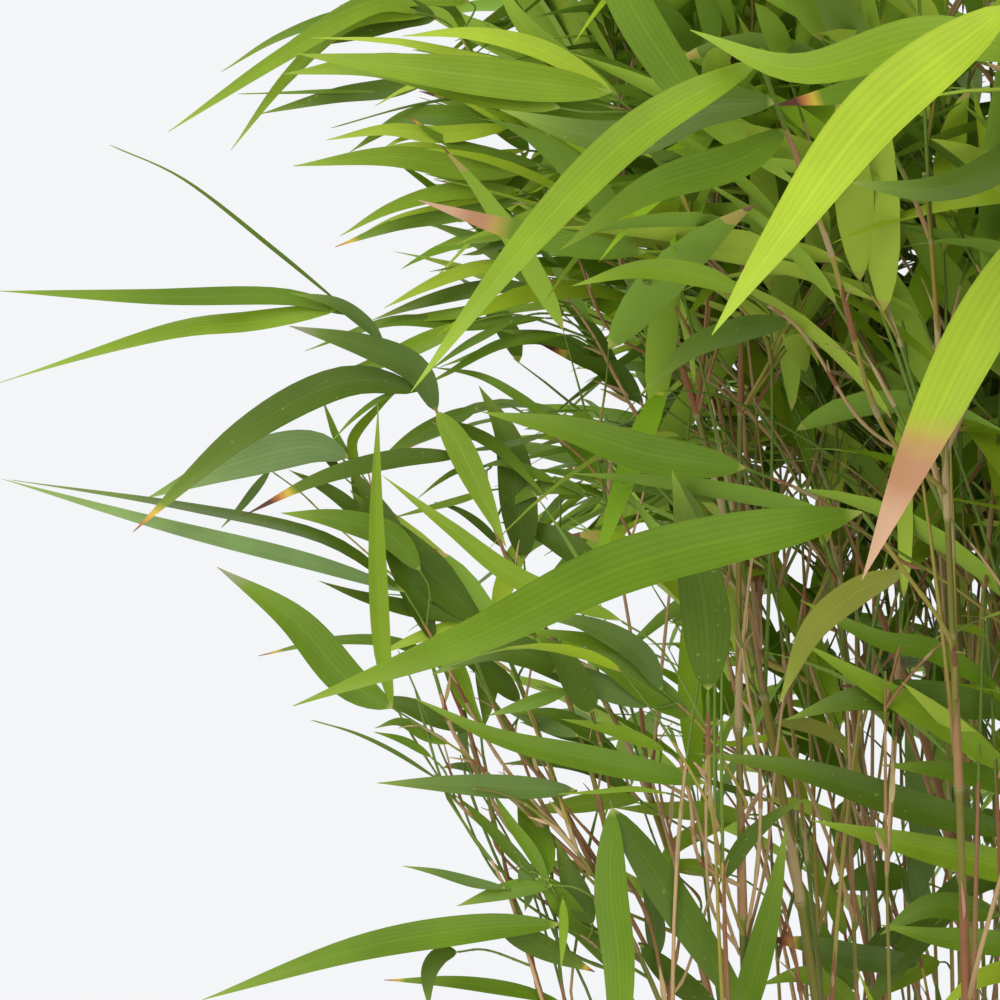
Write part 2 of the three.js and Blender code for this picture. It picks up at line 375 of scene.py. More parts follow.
class BambooSettings(bpy.types.PropertyGroup):
    """Sizes and colours of the potted bamboo."""

    leaf_length: bpy.props.FloatProperty(
        name="Leaf length", description="Length of a full-grown leaf",
        default=0.118, unit="LENGTH",
    )
    leaf_slimness: bpy.props.FloatProperty(
        name="Leaf slimness", description="A leaf's length over its width", default=9.2
    )
    cane_radius: bpy.props.FloatProperty(
        name="Cane radius", description="Radius of a cane at the soil",
        default=0.0023, unit="LENGTH",
    )
    twig_radius: bpy.props.FloatProperty(
        name="Twig radius", description="Radius of a twig at its root",
        default=0.0009, unit="LENGTH",
    )
    fullness: bpy.props.FloatProperty(
        name="Fullness", description="Share of the twigs' ends that carry leaves",
        default=0.86, subtype="FACTOR",
    )
    leaf_color: bpy.props.FloatVectorProperty(
        name="Leaf colour", description="Upper side of a full-grown leaf",
        default=(0.155, 0.28, 0.011), subtype="COLOR",
    )
    pot_color: bpy.props.FloatVectorProperty(
        name="Pot colour", description="Colour of the plastic pot",
        default=(0.042, 0.045, 0.048), subtype="COLOR",
    )


# ---- How the plant grows -------------------------------------------------------------------


def on_picture(points):
    """Where points show in the photograph: columns and rows in pixels, by the view's
    perspective."""
    scale = PIXEL * (1 + points[..., 1] / VIEW_DISTANCE)
    column = PICTURE_MIDDLE + (points[..., 0] - CENTRE_X) / scale
    row = PICTURE_MIDDLE - (points[..., 2] - CENTRE_HEIGHT) / scale
    return column, row


def from_picture(column, row, depth):
    """The places that show at columns and rows of the photograph, at depths along Y."""
    scale = PIXEL * (1 + np.asarray(depth) / VIEW_DISTANCE)
    x = CENTRE_X + (np.asarray(column) - PICTURE_MIDDLE) * scale
    z = CENTRE_HEIGHT - (np.asarray(row) - PICTURE_MIDDLE) * scale
    return np.stack([x, depth + 0 * x, z], axis=-1)


def in_pairs(numbers):
    """Columns and rows of the photograph from numbers that give them in turn."""
    return np.array(numbers, dtype=float).reshape(-1, 2).T


def cane_controls():
    """The four control points of every cane's cubic curve: upright out of the soil, then
    arching outwards. Ring by ring, with the angle, bend, reach and rise varied by chance."""
    controls = []
    for ring in CANE_RINGS:
        place = np.arange(ring["count"])
        cane = place + len(controls)
        step = 2 * np.pi / ring["count"]
        angle = ring["turn"] + step * (place + vary(-0.16, 0.16, cane, 1, 1))
        bend = vary(-0.2, 0.2, cane, 2, 1)
        reach = ring["reach"] * vary(0.86, 1.12, cane, 3, 1)
        rise = ring["rise"] * vary(1 - ring["uneven"], 1 + ring["uneven"], cane, 4, 1)
        spread = reach - ring["foot"]
        soil = SOIL_TOP + CLEAR
        course = [
            (ring["foot"] + 0 * spread, angle, soil + 0 * rise),
            (ring["foot"] + 0.16 * spread, angle, soil + 0.4 * rise),
            (ring["foot"] + 0.5 * spread, angle + 0.5 * bend, soil + 0.9 * rise),
            (reach, angle + bend, soil + rise * (1 - ring["sag"])),
        ]
        controls.extend(np.stack([round_axis(*spot) for spot in course], axis=1))
    return np.array(controls)


def young_controls():
    """Control points of the thin young canes between the full-grown ones. The foremost comes
    first, then those that the photograph shows at its foot, which rise nearly upright there;
    the others go round the pot by the golden angle."""
    column, depth, tall = np.array(SEEN_CANES, dtype=float).T
    seen = from_picture(column, SEEN_ROW + 0 * column, depth) * np.array([1.0, 1.0, 0.0])
    heights = (CANE_FOOT + 0 * tall, *(SOIL_TOP + part * tall for part in (0.35, 0.75, 1.0)))
    foot = np.minimum(0.72, YOUNG_REACH / np.linalg.norm(seen, axis=1))
    parts = (foot, between(foot, 1.02, 0.7), 1.02 + 0 * foot, 1.1 + 0 * foot)
    upright = [seen * part[:, None] + h[:, None] * UP for part, h in zip(parts, heights)]
    number = np.arange(1, YOUNG_COUNT)
    angle = GOLDEN_ANGLE * number + 0.9
    foot = vary(18, YOUNG_REACH, number, 1, 11)
    lean = vary(1.15, 1.75, number, 2, 11)
    rise = vary(430, 700, number, 3, 11)
    bend = vary(-0.3, 0.3, number, 4, 11)
    course = [
        (foot, angle, CANE_FOOT + 0 * rise),
        (foot * (1 + 0.2 * (lean - 1)), angle, CANE_FOOT + 0.4 * rise),
        (foot * lean, angle + 0.5 * bend, CANE_FOOT + 0.8 * rise),
        (foot * lean + 12, angle + bend, CANE_FOOT + rise),
    ]
    points = [round_axis(*spot) for spot in course]
    return np.concatenate([[FOREMOST_CANE], np.stack(upright, axis=1), np.stack(points, axis=1)])


# How many young canes there are besides SEEN_CANES, the foremost among them; how far from the
# pot's axis young canes may stand; the turn from one to the next; and the photograph's row at
# which SEEN_CANES have their columns.
YOUNG_COUNT = 12
YOUNG_REACH = 92.0
GOLDEN_ANGLE = 2.4
SEEN_ROW = 950.0
FOREMOST_CANE = ((-72, -22, 218), (-124, -20, 450), (-130, -22, 650), (-122, -28, 940))
# Thin canes that the photograph shows at its foot: column, depth and height above the soil.
SEEN_CANES = (
    (778, 85, 560), (797, 105, 640), (812, 50, 690), (848, 30, 700), (872, 120, 540),
    (903, 135, 620), (918, 100, 560), (930, 150, 640), (948, 60, 700), (960, 125, 520),
    (976, 85, 600), (994, 110, 660),
)
FULL_CANES = cane_controls()
CANE_COUNT = len(FULL_CANES)
CANES = np.concatenate([FULL_CANES, young_controls()])
JOINTS = 14
ARC_STEPS = 241


def on_cane(cane, share):
    """Points and directions on canes' cubic curves, for arrays of cane numbers and shares."""
    a, b, c, d = (CANES[cane][..., k, :] for k in range(4))
    t = np.asarray(share)[..., None]
    point = a * (1 - t) ** 3 + 3 * b * t * (1 - t) ** 2 + 3 * c * t**2 * (1 - t) + d * t**3
    slope = (b - a) * (1 - t) ** 2 + 2 * (c - b) * t * (1 - t) + (d - c) * t**2
    return point, unit(slope)


def joint_shares():
    """Each cane's joints as shares of its curve, foot and tip included. The lengths between
    joints grow to the middle of the cane and shrink again; arc length is read off a table."""
    lengths = 0.5 + np.sin(np.pi * (np.arange(JOINTS) + 0.5) / JOINTS)
    marks = np.concatenate([[0.0], np.cumsum(lengths) / lengths.sum()])
    shares = np.linspace(0, 1, ARC_STEPS)
    cane = np.arange(len(CANES))[:, None]
    points, _ = on_cane(cane, np.broadcast_to(shares, (len(CANES), ARC_STEPS)))
    steps = np.linalg.norm(np.diff(points, axis=1), axis=-1)
    travelled = np.concatenate([np.zeros((len(CANES), 1)), np.cumsum(steps, axis=1)], axis=1)
    uneven = between(-0.25, 0.25, chance(cane, np.arange(JOINTS + 1)[None], 21)) / JOINTS
    uneven[:, [0, -1]] = 0
    found = [np.interp((marks + u) * t[-1], t, shares) for t, u in zip(travelled, uneven)]
    return np.array(found)


JOINT_SHARES = joint_shares()


def cane_radius(cane, share, radius):
    """A cane's radius: its own size, tapering to a quarter, with a little flare at the foot.
    Young canes are about half as thick, but for the foremost."""
    share, cane = np.asarray(share), np.asarray(cane)
    own = np.where(cane < CANE_COUNT, vary(0.78, 1.12, cane, 3, 41), 0.56)
    own = np.where(cane == CANE_COUNT, 1.15, own)
    return own * radius * (between(1.0, 0.26, share**1.15) + 0.3 * np.exp(-share * 60))


class Many:
    """Many things of one kind: each part is an array with an entry for each of them."""

    PARTS = ()

    def __init__(self, *parts):
        for label, part in zip(self.PARTS, parts):
            setattr(self, label, part)

    def keep(self, mask):
        """Those that a mask or numbers name."""
        return type(self)(*(getattr(self, label)[mask] for label in self.PARTS))


class Twigs(Many):
    """Many twigs: root, first direction, bend, length, radius, key for chance, the number of
    the twig or cane that each grows from, at which share of it, and the share of its own length
    up to which it bears something. A twig's course is the root plus the length times (u times
    the direction plus u squared times the bend)."""

    PARTS = ("root", "heading", "bend", "length", "radius", "key", "parent", "place", "reach")

    def at(self, who, share):
        """Points and directions of the twigs numbered who, at shares of their length."""
        u = np.asarray(share)[..., None]
        length = self.length[who][..., None]
        heading, bend = self.heading[who], self.bend[who]
        point = self.root[who] + length * (u * heading + u * u * bend)
        return point, unit(heading + 2 * u * bend)

    def ends(self):
        """The twigs' end points."""
        return self.at(np.arange(len(self.length)), np.ones(len(self.length)))[0]

    def joined(self, *others):
        """These twigs and others, one after another."""
        everyone = (self, *others)
        return Twigs(*(
            np.concatenate([getattr(twigs, label) for twigs in everyone]) for label in self.PARTS
        ))


def held_in(twigs, reserve):
    """The twigs shortened so that their ends stay a reserve inside the crown's limits."""
    end = twigs.ends()
    start_radius = np.hypot(twigs.root[:, 0], twigs.root[:, 1])
    end_radius = np.hypot(end[:, 0], end[:, 1])
    room = (CROWN_RADIUS - reserve - start_radius) / np.maximum(end_radius - start_radius, 1e-6)
    room = np.where(end_radius > CROWN_RADIUS - reserve, room, 1.0)
    ceiling, rise = CROWN_TOP - 0.7 * reserve, end[:, 2] - twigs.root[:, 2]
    top = (ceiling - twigs.root[:, 2]) / np.maximum(rise, 1e-6)
    room = np.where(end[:, 2] > ceiling, np.minimum(room, top), room)
    twigs.length = twigs.length * np.clip(room, 0.3, 1.0)
    return twigs


LOWEST_TWIG_JOINT = 4
LOWEST_TWIG_SHARE = 0.34
MOST_FINGERS = 6
LOW_TWIG_LENGTH = 330
HIGH_TWIG_LENGTH = 95
SHORT_TWIG_LENGTH = 110
LEADER_LENGTH = 165
# How far the ends of first and side twigs stay inside the crown's limits, for their leaves.
FIRST_RESERVE = 78
SIDE_RESERVE = 74


def first_twigs(radius):
    """Twigs of the first order: a bundle at each joint of a cane's upper part, on alternate
    sides. Low down they are long and rise close to the cane, so the clump is open there; higher
    up they are shorter, spread like fingers and arch outwards."""
    joints = np.arange(LOWEST_TWIG_JOINT, JOINTS)
    cane, joint, finger = every_pair(np.arange(len(CANES)), joints, np.arange(MOST_FINGERS))
    share = JOINT_SHARES[cane, joint]
    most = between(2.4, 4.2, np.clip(share * 2 - 0.8, 0, 1))
    fingers = 2 + np.floor(most * chance(cane, joint, 31))
    young = cane >= CANE_COUNT
    fingers = np.where(young, np.where(share < 0.72, chance(cane, joint, 30) < 0.55, 3), fingers)
    wanted = (finger < fingers) & (share > LOWEST_TWIG_SHARE)
    cane, joint, finger, share = (part[wanted] for part in (cane, joint, finger, share))
    key = cane * 400 + joint * 20 + finger
    short = (finger == 1) & (chance(key, 7, 38) < 0.7) & (share > 0.6)
    leader = (finger == 0) & (joint == JOINTS - 1)
    root, along = on_cane(cane, share)
    away = outwards(root)
    side = square_to(np.broadcast_to(UP, away.shape) * 0.02 + np.cross(UP, away), along)
    over = np.cross(along, side)
    spread = vary(-0.55, 0.55, key, 1, 32) + (finger - 2) * 0.5
    turn = np.pi * (joint % 2) + FULL_TURN * chance(cane, 7, 33) + spread
    round_cane = turned(side, over, turn)
    high = np.clip((share - 0.36) / 0.64, 0, 1)
    slant = vary(0.05, 0.24, key, 2, 34) + 0.85 * high**1.45
    slant = np.where(short, np.maximum(slant, 0.75), np.where(leader, 0.1, slant))
    heading = unit(along + round_cane * slant[:, None] + away * 0.06)
    droop = vary(0.02, 0.3, key, 3, 35) * between(0.5, 1.3, high)
    outward = vary(0.0, 0.2, key, 4, 36) * between(0.4, 1.2, high)
    bend = away * outward[:, None] + round_cane * 0.1 - UP * droop[:, None]
    length = between(LOW_TWIG_LENGTH, HIGH_TWIG_LENGTH, high**0.75) * vary(0.55, 1.12, key, 5, 37)
    length = np.where(leader, LEADER_LENGTH, length)
    length = np.where(short, np.minimum(length, SHORT_TWIG_LENGTH), length)
    thick, reach = radius * between(1.1, 0.7, high), np.ones(len(cane))
    twigs = Twigs(root, heading, bend, length, thick, key, cane, share, reach)
    return held_in(twigs, FIRST_RESERVE)


def side_twigs(parents, places, shrink, use):
    """Twigs of the next order, at places along each parent, on alternate sides. Chance keeps
    three in five."""
    parts = []
    for k, place in enumerate(places):
        who = np.arange(len(parents.length))
        key = parents.key * 3 + 7919 * (k + 1)
        share = place + vary(-0.06, 0.06, key, 1, use)
        root, along = parents.at(who, share)
        side = square_to(np.cross(UP, along) + 0.05, along)
        over = np.cross(along, side)
        turn = np.pi * k + vary(-1.2, 1.2, key, 2, use)
        out = turned(side, over, turn)
        heading = unit(along + out * vary(0.28, 0.66, key, 3, use)[:, None])
        bend = outwards(root) * 0.1 - UP * vary(0.05, 0.3, key, 4, use)[:, None]
        length = np.maximum(parents.length * shrink, 45) * vary(0.7, 1.2, key, 5, use)
        radius, reach = parents.radius * 0.72, np.ones(len(who))
        made = Twigs(root, heading, bend, length, radius, key, who, share, reach)
        parts.append(made.keep(chance(key, 6, use) < 0.6))
    return held_in(parts[0].joined(*parts[1:]), SIDE_RESERVE)


def grow_crown(settings):
    """The twigs of both orders and their leaves. Twigs that end where the photograph shows sky
    are left out first, side twigs grow from those that stay, and twigs that bear nothing go
    again."""
    first = shown(first_twigs(settings.twig_radius * METRE))
    second = shown(side_twigs(first, (0.45, 0.62, 0.8), 0.38, 71))
    twigs = first.joined(second)
    grown = chance(twigs.key, 5, 73) < settings.fullness
    leaves, bearer, places = fan_leaves(
        twigs, grown, settings.leaf_length * METRE, settings.leaf_slimness, 6, 74
    )
    twigs.reach = np.zeros(len(twigs.length))
    np.maximum.at(twigs.reach, bearer, places)
    count = len(first.length)
    first.reach, second.reach = twigs.reach[:count], twigs.reach[count:]
    second = second.keep(second.reach > 0)
    np.maximum.at(first.reach, second.parent, second.place)
    bare = (first.reach == 0) & (chance(first.key, 8, 73) < 0.06)
    first.reach = np.where(bare, 0.7, first.reach)
    return first.keep(first.reach > 0), second, leaves


def shown(twigs):
    """The twigs but those that end in the photograph's sky, most of the near ones, and low down
    in front those that lean across the canes."""
    ends = twigs.ends()
    column, row = on_picture(ends)
    root_column, root_row = on_picture(twigs.root)
    low = 0.3 * ((row > 480) & (column > 560) & (ends[:, 1] < 150))
    lean = (root_column - column) / np.maximum(root_row - row, 1.0)
    seen = (root_row > 640) & (root_row < 1300) & (root_column > 650) & (root_column < 1150)
    across = seen & (np.abs(lean) > 0.5) & (ends[:, 1] < 230)
    left_out = np.clip(in_open_front(ends) * 1.1, np.maximum(low, 0.9 * across), 0.92)
    return twigs.keep(~in_open_sky(ends, 0.0) & (chance(twigs.key, 9, 70) > left_out))


# How far left the thick of the crown reaches in the photograph: rows and columns.
CROWN_EDGE_ROWS = (-250, -100, 0, 100, 200, 300, 400, 600, 800, 900, 1000, 1300)
CROWN_EDGE_COLUMNS = (0, 260, 380, 400, 420, 425, 430, 405, 400, 420, 440, 200)


def in_open_sky(points, slack):
    """Whether points show left of the crown's edge in the photograph, where there is sky."""
    column, row = on_picture(points)
    edge = np.interp(row, CROWN_EDGE_ROWS, CROWN_EDGE_COLUMNS)
    return (column < edge - slack) & (row > -150) & (row < 1250) & (column > -250)


# Openings in the crown through which the photograph shows sky or, past a depth, the canes:
# column, row, half sizes and the depth to which they are open (999: all through).
SKY_GAPS = (
    (540, 352, 28, 36, 999), (498, 385, 30, 16, 999), (478, 345, 22, 22, 999),
    (640, 600, 22, 16, 999), (786, 472, 20, 14, 999), (798, 566, 20, 14, 999),
    (768, 606, 18, 12, 999), (625, 594, 26, 14, 999), (845, 638, 16, 16, 999),
    (884, 592, 22, 28, 999), (925, 518, 16, 14, 999), (618, 396, 20, 22, 999),
    (932, 584, 12, 14, 999), (823, 318, 12, 12, 999), (858, 400, 10, 12, 999),
    (648, 532, 14, 8, 999), (850, 745, 24, 18, 999), (905, 770, 16, 14, 999),
    (735, 400, 55, 70, 40), (742, 560, 18, 60, 10), (465, 472, 16, 12, 0),
    (442, 840, 26, 44, 999), (440, 498, 36, 40, 999), (484, 512, 28, 22, 999),
)


def in_gaps(points):
    """Whether leaves cross one of the openings in the photograph's crown."""
    column, row = on_picture(points)
    crossing = np.zeros(len(points), dtype=bool)
    for across, down, wide, high, depth in SKY_GAPS:
        inside = ((column - across) / wide) ** 2 + ((row - down) / high) ** 2 < 1
        crossing |= (inside & (points[..., 1] < depth)).any(axis=1)
    return crossing


def in_open_front(points):
    """The share of leaves to leave out where points lie between the photograph's eye and the
    canes: most of them low down, where the photograph looks in between the canes, and some
    higher up, where only a few near leaves cross it."""
    column, row = on_picture(points)
    seen = (column > 330) & (column < 1080) & (row > -60) & (row < 1080)
    near = np.clip((-90 - points[..., 1]) / 90, 0, 1)
    low = np.clip((row - 480) / 160, 0, 1)
    middle = np.clip((300 - points[..., 1]) / 100, 0, 1)
    foot = np.clip((row - 860) / 80, 0, 1) * np.clip((column - 560) / 60, 0, 1)
    foot = np.maximum(foot, 0.8 * np.clip((column - 640) / 60, 0, 1))
    high = np.clip((170 - row) / 120, 0, 1)
    near = near * between(between(0.76, 0.45, high), 1.0, low)
    return seen * np.maximum(near, middle * low * between(0.48, 0.06, foot))


class Leaves(Many):
    """Many leaves: root, first direction, bend, length, width, roll at the root, how much the
    roll grows to the tip, and key for chance. Midribs are curved as twigs are."""

    PARTS = ("root", "heading", "bend", "length", "width", "roll", "twist", "key")

    def midrib(self, stations):
        """Points of every leaf's midrib, at stations from 0 at the root to 1 at the tip."""
        u = stations[None, :, None]
        course = u * self.heading[:, None, :] + u * u * self.bend[:, None, :]
        return self.root[:, None, :] + self.length[:, None, None] * course


def fan_leaves(twigs, grown, full_length, slimness, most, use):
    """A fan of leaves at each grown twig's end: one goes on along the twig, the others part from
    it to left and right in turn, all in one plane that is turned by chance; the leaves then bow
    under their weight. Also the number of the twig that bears each leaf and where on it."""
    who, k = every_pair(np.flatnonzero(grown), np.arange(most))
    key = twigs.key[who] * 1.37 + 11.3 * k
    count = 3 + np.floor((most - 2.4) * chance(twigs.key[who], 1, use))
    wanted = k < count
    who, k, key = who[wanted], k[wanted], key[wanted]
    spacing = np.clip(13.0 / twigs.length[who], 0.05, 0.2)
    share = 1.0 - spacing * k * vary(0.8, 1.15, key, 2, use)
    root, along = twigs.at(who, share)
    _, tip_along = twigs.at(who, np.ones(len(who)))
    flat = square_to(np.cross(UP, tip_along) + 0.03, tip_along)
    over = np.cross(tip_along, flat)
    plane = vary(-1.0, 1.0, twigs.key[who], 3, use)
    out = square_to(turned(flat, over, plane), along)
    hand = np.where((k + np.floor(2 * chance(twigs.key[who], 4, use))) % 2 == 0, 1.0, -1.0)
    parting = np.where(k == 0, 0.12, vary(0.45, 1.05, key, 5, use)) * hand
    away = outwards(root) * 0.16
    heading = unit(along + out * parting[:, None] + away - UP * 0.08)
    sag = vary(0.04, 0.42, key, 6, use)
    sideways = vary(-0.12, 0.12, key, 7, use)
    bend = -UP * sag[:, None] + out * sideways[:, None]
    size = vary(0.62, 1.12, key, 8, use) * np.where(k == 0, 0.85, 1.0)
    length = full_length * size
    width = length / slimness * vary(0.85, 1.15, key, 9, use)
    roll = vary(-0.85, 0.85, key, 10, use)
    twist = vary(-0.7, 0.7, key, 11, use)
    leaves = Leaves(root, heading, bend, length, width, roll, twist, key)
    points = leaves.midrib(np.array([0.35, 0.7, 1.0]))
    radius = np.hypot(points[..., 0], points[..., 1])
    low, high = points[..., 2].min(axis=1), points[..., 2].max(axis=1)
    inside = (radius.max(axis=1) < CROWN_RADIUS) & (low > CROWN_FOOT) & (high < CROWN_TOP)
    slack = between(-15, 75, chance(key, 12, use) ** 2)[:, None]
    clear = ~in_open_sky(points, slack).any(axis=1)
    wanted = chance(key, 13, use) > in_open_front(points[:, 1])
    thin = between(0.45, 1.0, np.clip((points[:, 1, 2] - 520) / 240, 0, 1))
    thin = thin * clumping(points[:, 1]) * (1 - in_the_heart(points[:, 0]))
    fine = leaves.midrib(np.linspace(0.1, 1.0, 7))
    kept = inside & clear & wanted & (chance(key, 14, use) < thin) & ~in_gaps(fine)
    return leaves.keep(kept), who[kept], share[kept]


def in_the_heart(points):
    """The share of leaves to leave out near the pot's axis, where the canes shade them off."""
    radius = np.hypot(points[:, 0], points[:, 1])
    return 0.6 * np.clip((185 - radius) / 90, 0, 1) * np.clip((1000 - points[:, 2]) / 120, 0, 1)


def clumping(points):
    """The share of leaves that grow round places: full in most of the crown, few in the gaps
    where a product of three sines is high."""
    x, y, z = points[:, 0], points[:, 1], points[:, 2]
    wave = np.sin(x / 41 + 0.6 * np.sin(z / 60)) * np.sin(y / 43 + 1.1) * np.sin(z / 38 + x / 90)
    return 1 - 0.8 * np.clip((np.abs(wave) - 0.3) / 0.25, 0, 1)


def blade_half_width(u):
    """Half the width of a leaf of width one: about the sine of pi times u to the power 0.66, so
    it widens fast, is widest at a third and runs out in a long point."""
    return 0.5 * np.clip(np.sin(np.pi * np.clip(u, 0, 1) ** 0.66), 0, 1) ** 0.96


# Places along a leaf and across it.
LEAF_STATIONS = np.array([0.0, 0.035, 0.1, 0.2, 0.34, 0.5, 0.66, 0.81, 0.93, 1.0])
LEAF_ACROSS = np.array([-1.0, 0.0, 1.0])
STALK_WIDTH = 0.55
POINT_HALF_WIDTH = 0.1


def blade_axes(ribs, roll):
    """For each place along leaves' midribs, the direction across the blade and the one its upper
    side faces: level and upwards, then turned about the midrib by the roll."""
    along = unit(np.gradient(ribs, axis=1))
    level = square_to(np.cross(np.broadcast_to(UP, along.shape), along) + 1e-4, along)
    above = np.cross(along, level)
    blade = turned(level, above, roll)
    face = np.cross(along, blade)
    face = face * np.where(face[:, :1, 2:] < 0, -1.0, 1.0)
    return np.cross(face, along), face


def leaf_shells(ribs, blade, face, half, across, thickness, fold):
    """Corners of leaf shells: for each place along the midrib, points across the blade on its
    upper side and back on its lower. The blade is folded along the midrib, so its edges are
    raised by the fold times the distance from the midrib, and it is thickest at the midrib."""
    round_trip = there_and_back(across)
    side = np.concatenate([np.ones(len(across)), -np.ones(len(across) - 2)])
    slim = 0.4 + 0.6 * half / half.max(axis=1, keepdims=True)
    lift = np.abs(round_trip) * half[..., None] * fold
    lift = lift + side * (1 - np.abs(round_trip)) * 0.5 * thickness * slim[..., None]
    return (
        ribs[:, :, None, :]
        + blade[:, :, None, :] * (round_trip * half[..., None])[..., None]
        + face[:, :, None, :] * lift[..., None]
    )


def blade_halves(width, stations):
    """Half the width of leaves at stations: a stalk's at the root, a fine point's at the tip."""
    half = np.maximum(width[:, None] * blade_half_width(stations)[None], STALK_WIDTH * 0.5)
    return np.where(stations[None] >= 1.0, POINT_HALF_WIDTH, half)


def leaf_faces(count, rows, across):
    """Triangles of leaf shells with the side each is on (0 above, 1 below) and its row, and the
    caps. Both sides are cut along the same diagonals, so that they never cross."""
    columns = 2 * (across - 1)
    a, b, c, d = grid_faces(count, rows, columns).T
    above = np.tile(np.arange(columns) < across - 1, count * (rows - 1))
    left = np.where(above, [a, c, b], [a, d, b])
    right = np.where(above, [a, d, c], [b, d, c])
    triangles = np.stack([left.T, right.T], axis=1).reshape(-1, 3)
    caps = cap_faces(count, rows, columns)[:, ::-1]
    side = np.repeat(np.where(above, 0, 1), 2)
    row = np.tile(np.repeat(np.arange(rows - 1), columns * 2), count)
    return triangles, caps, side, row


# ---- Shoots shown by the photograph --------------------------------------------------------

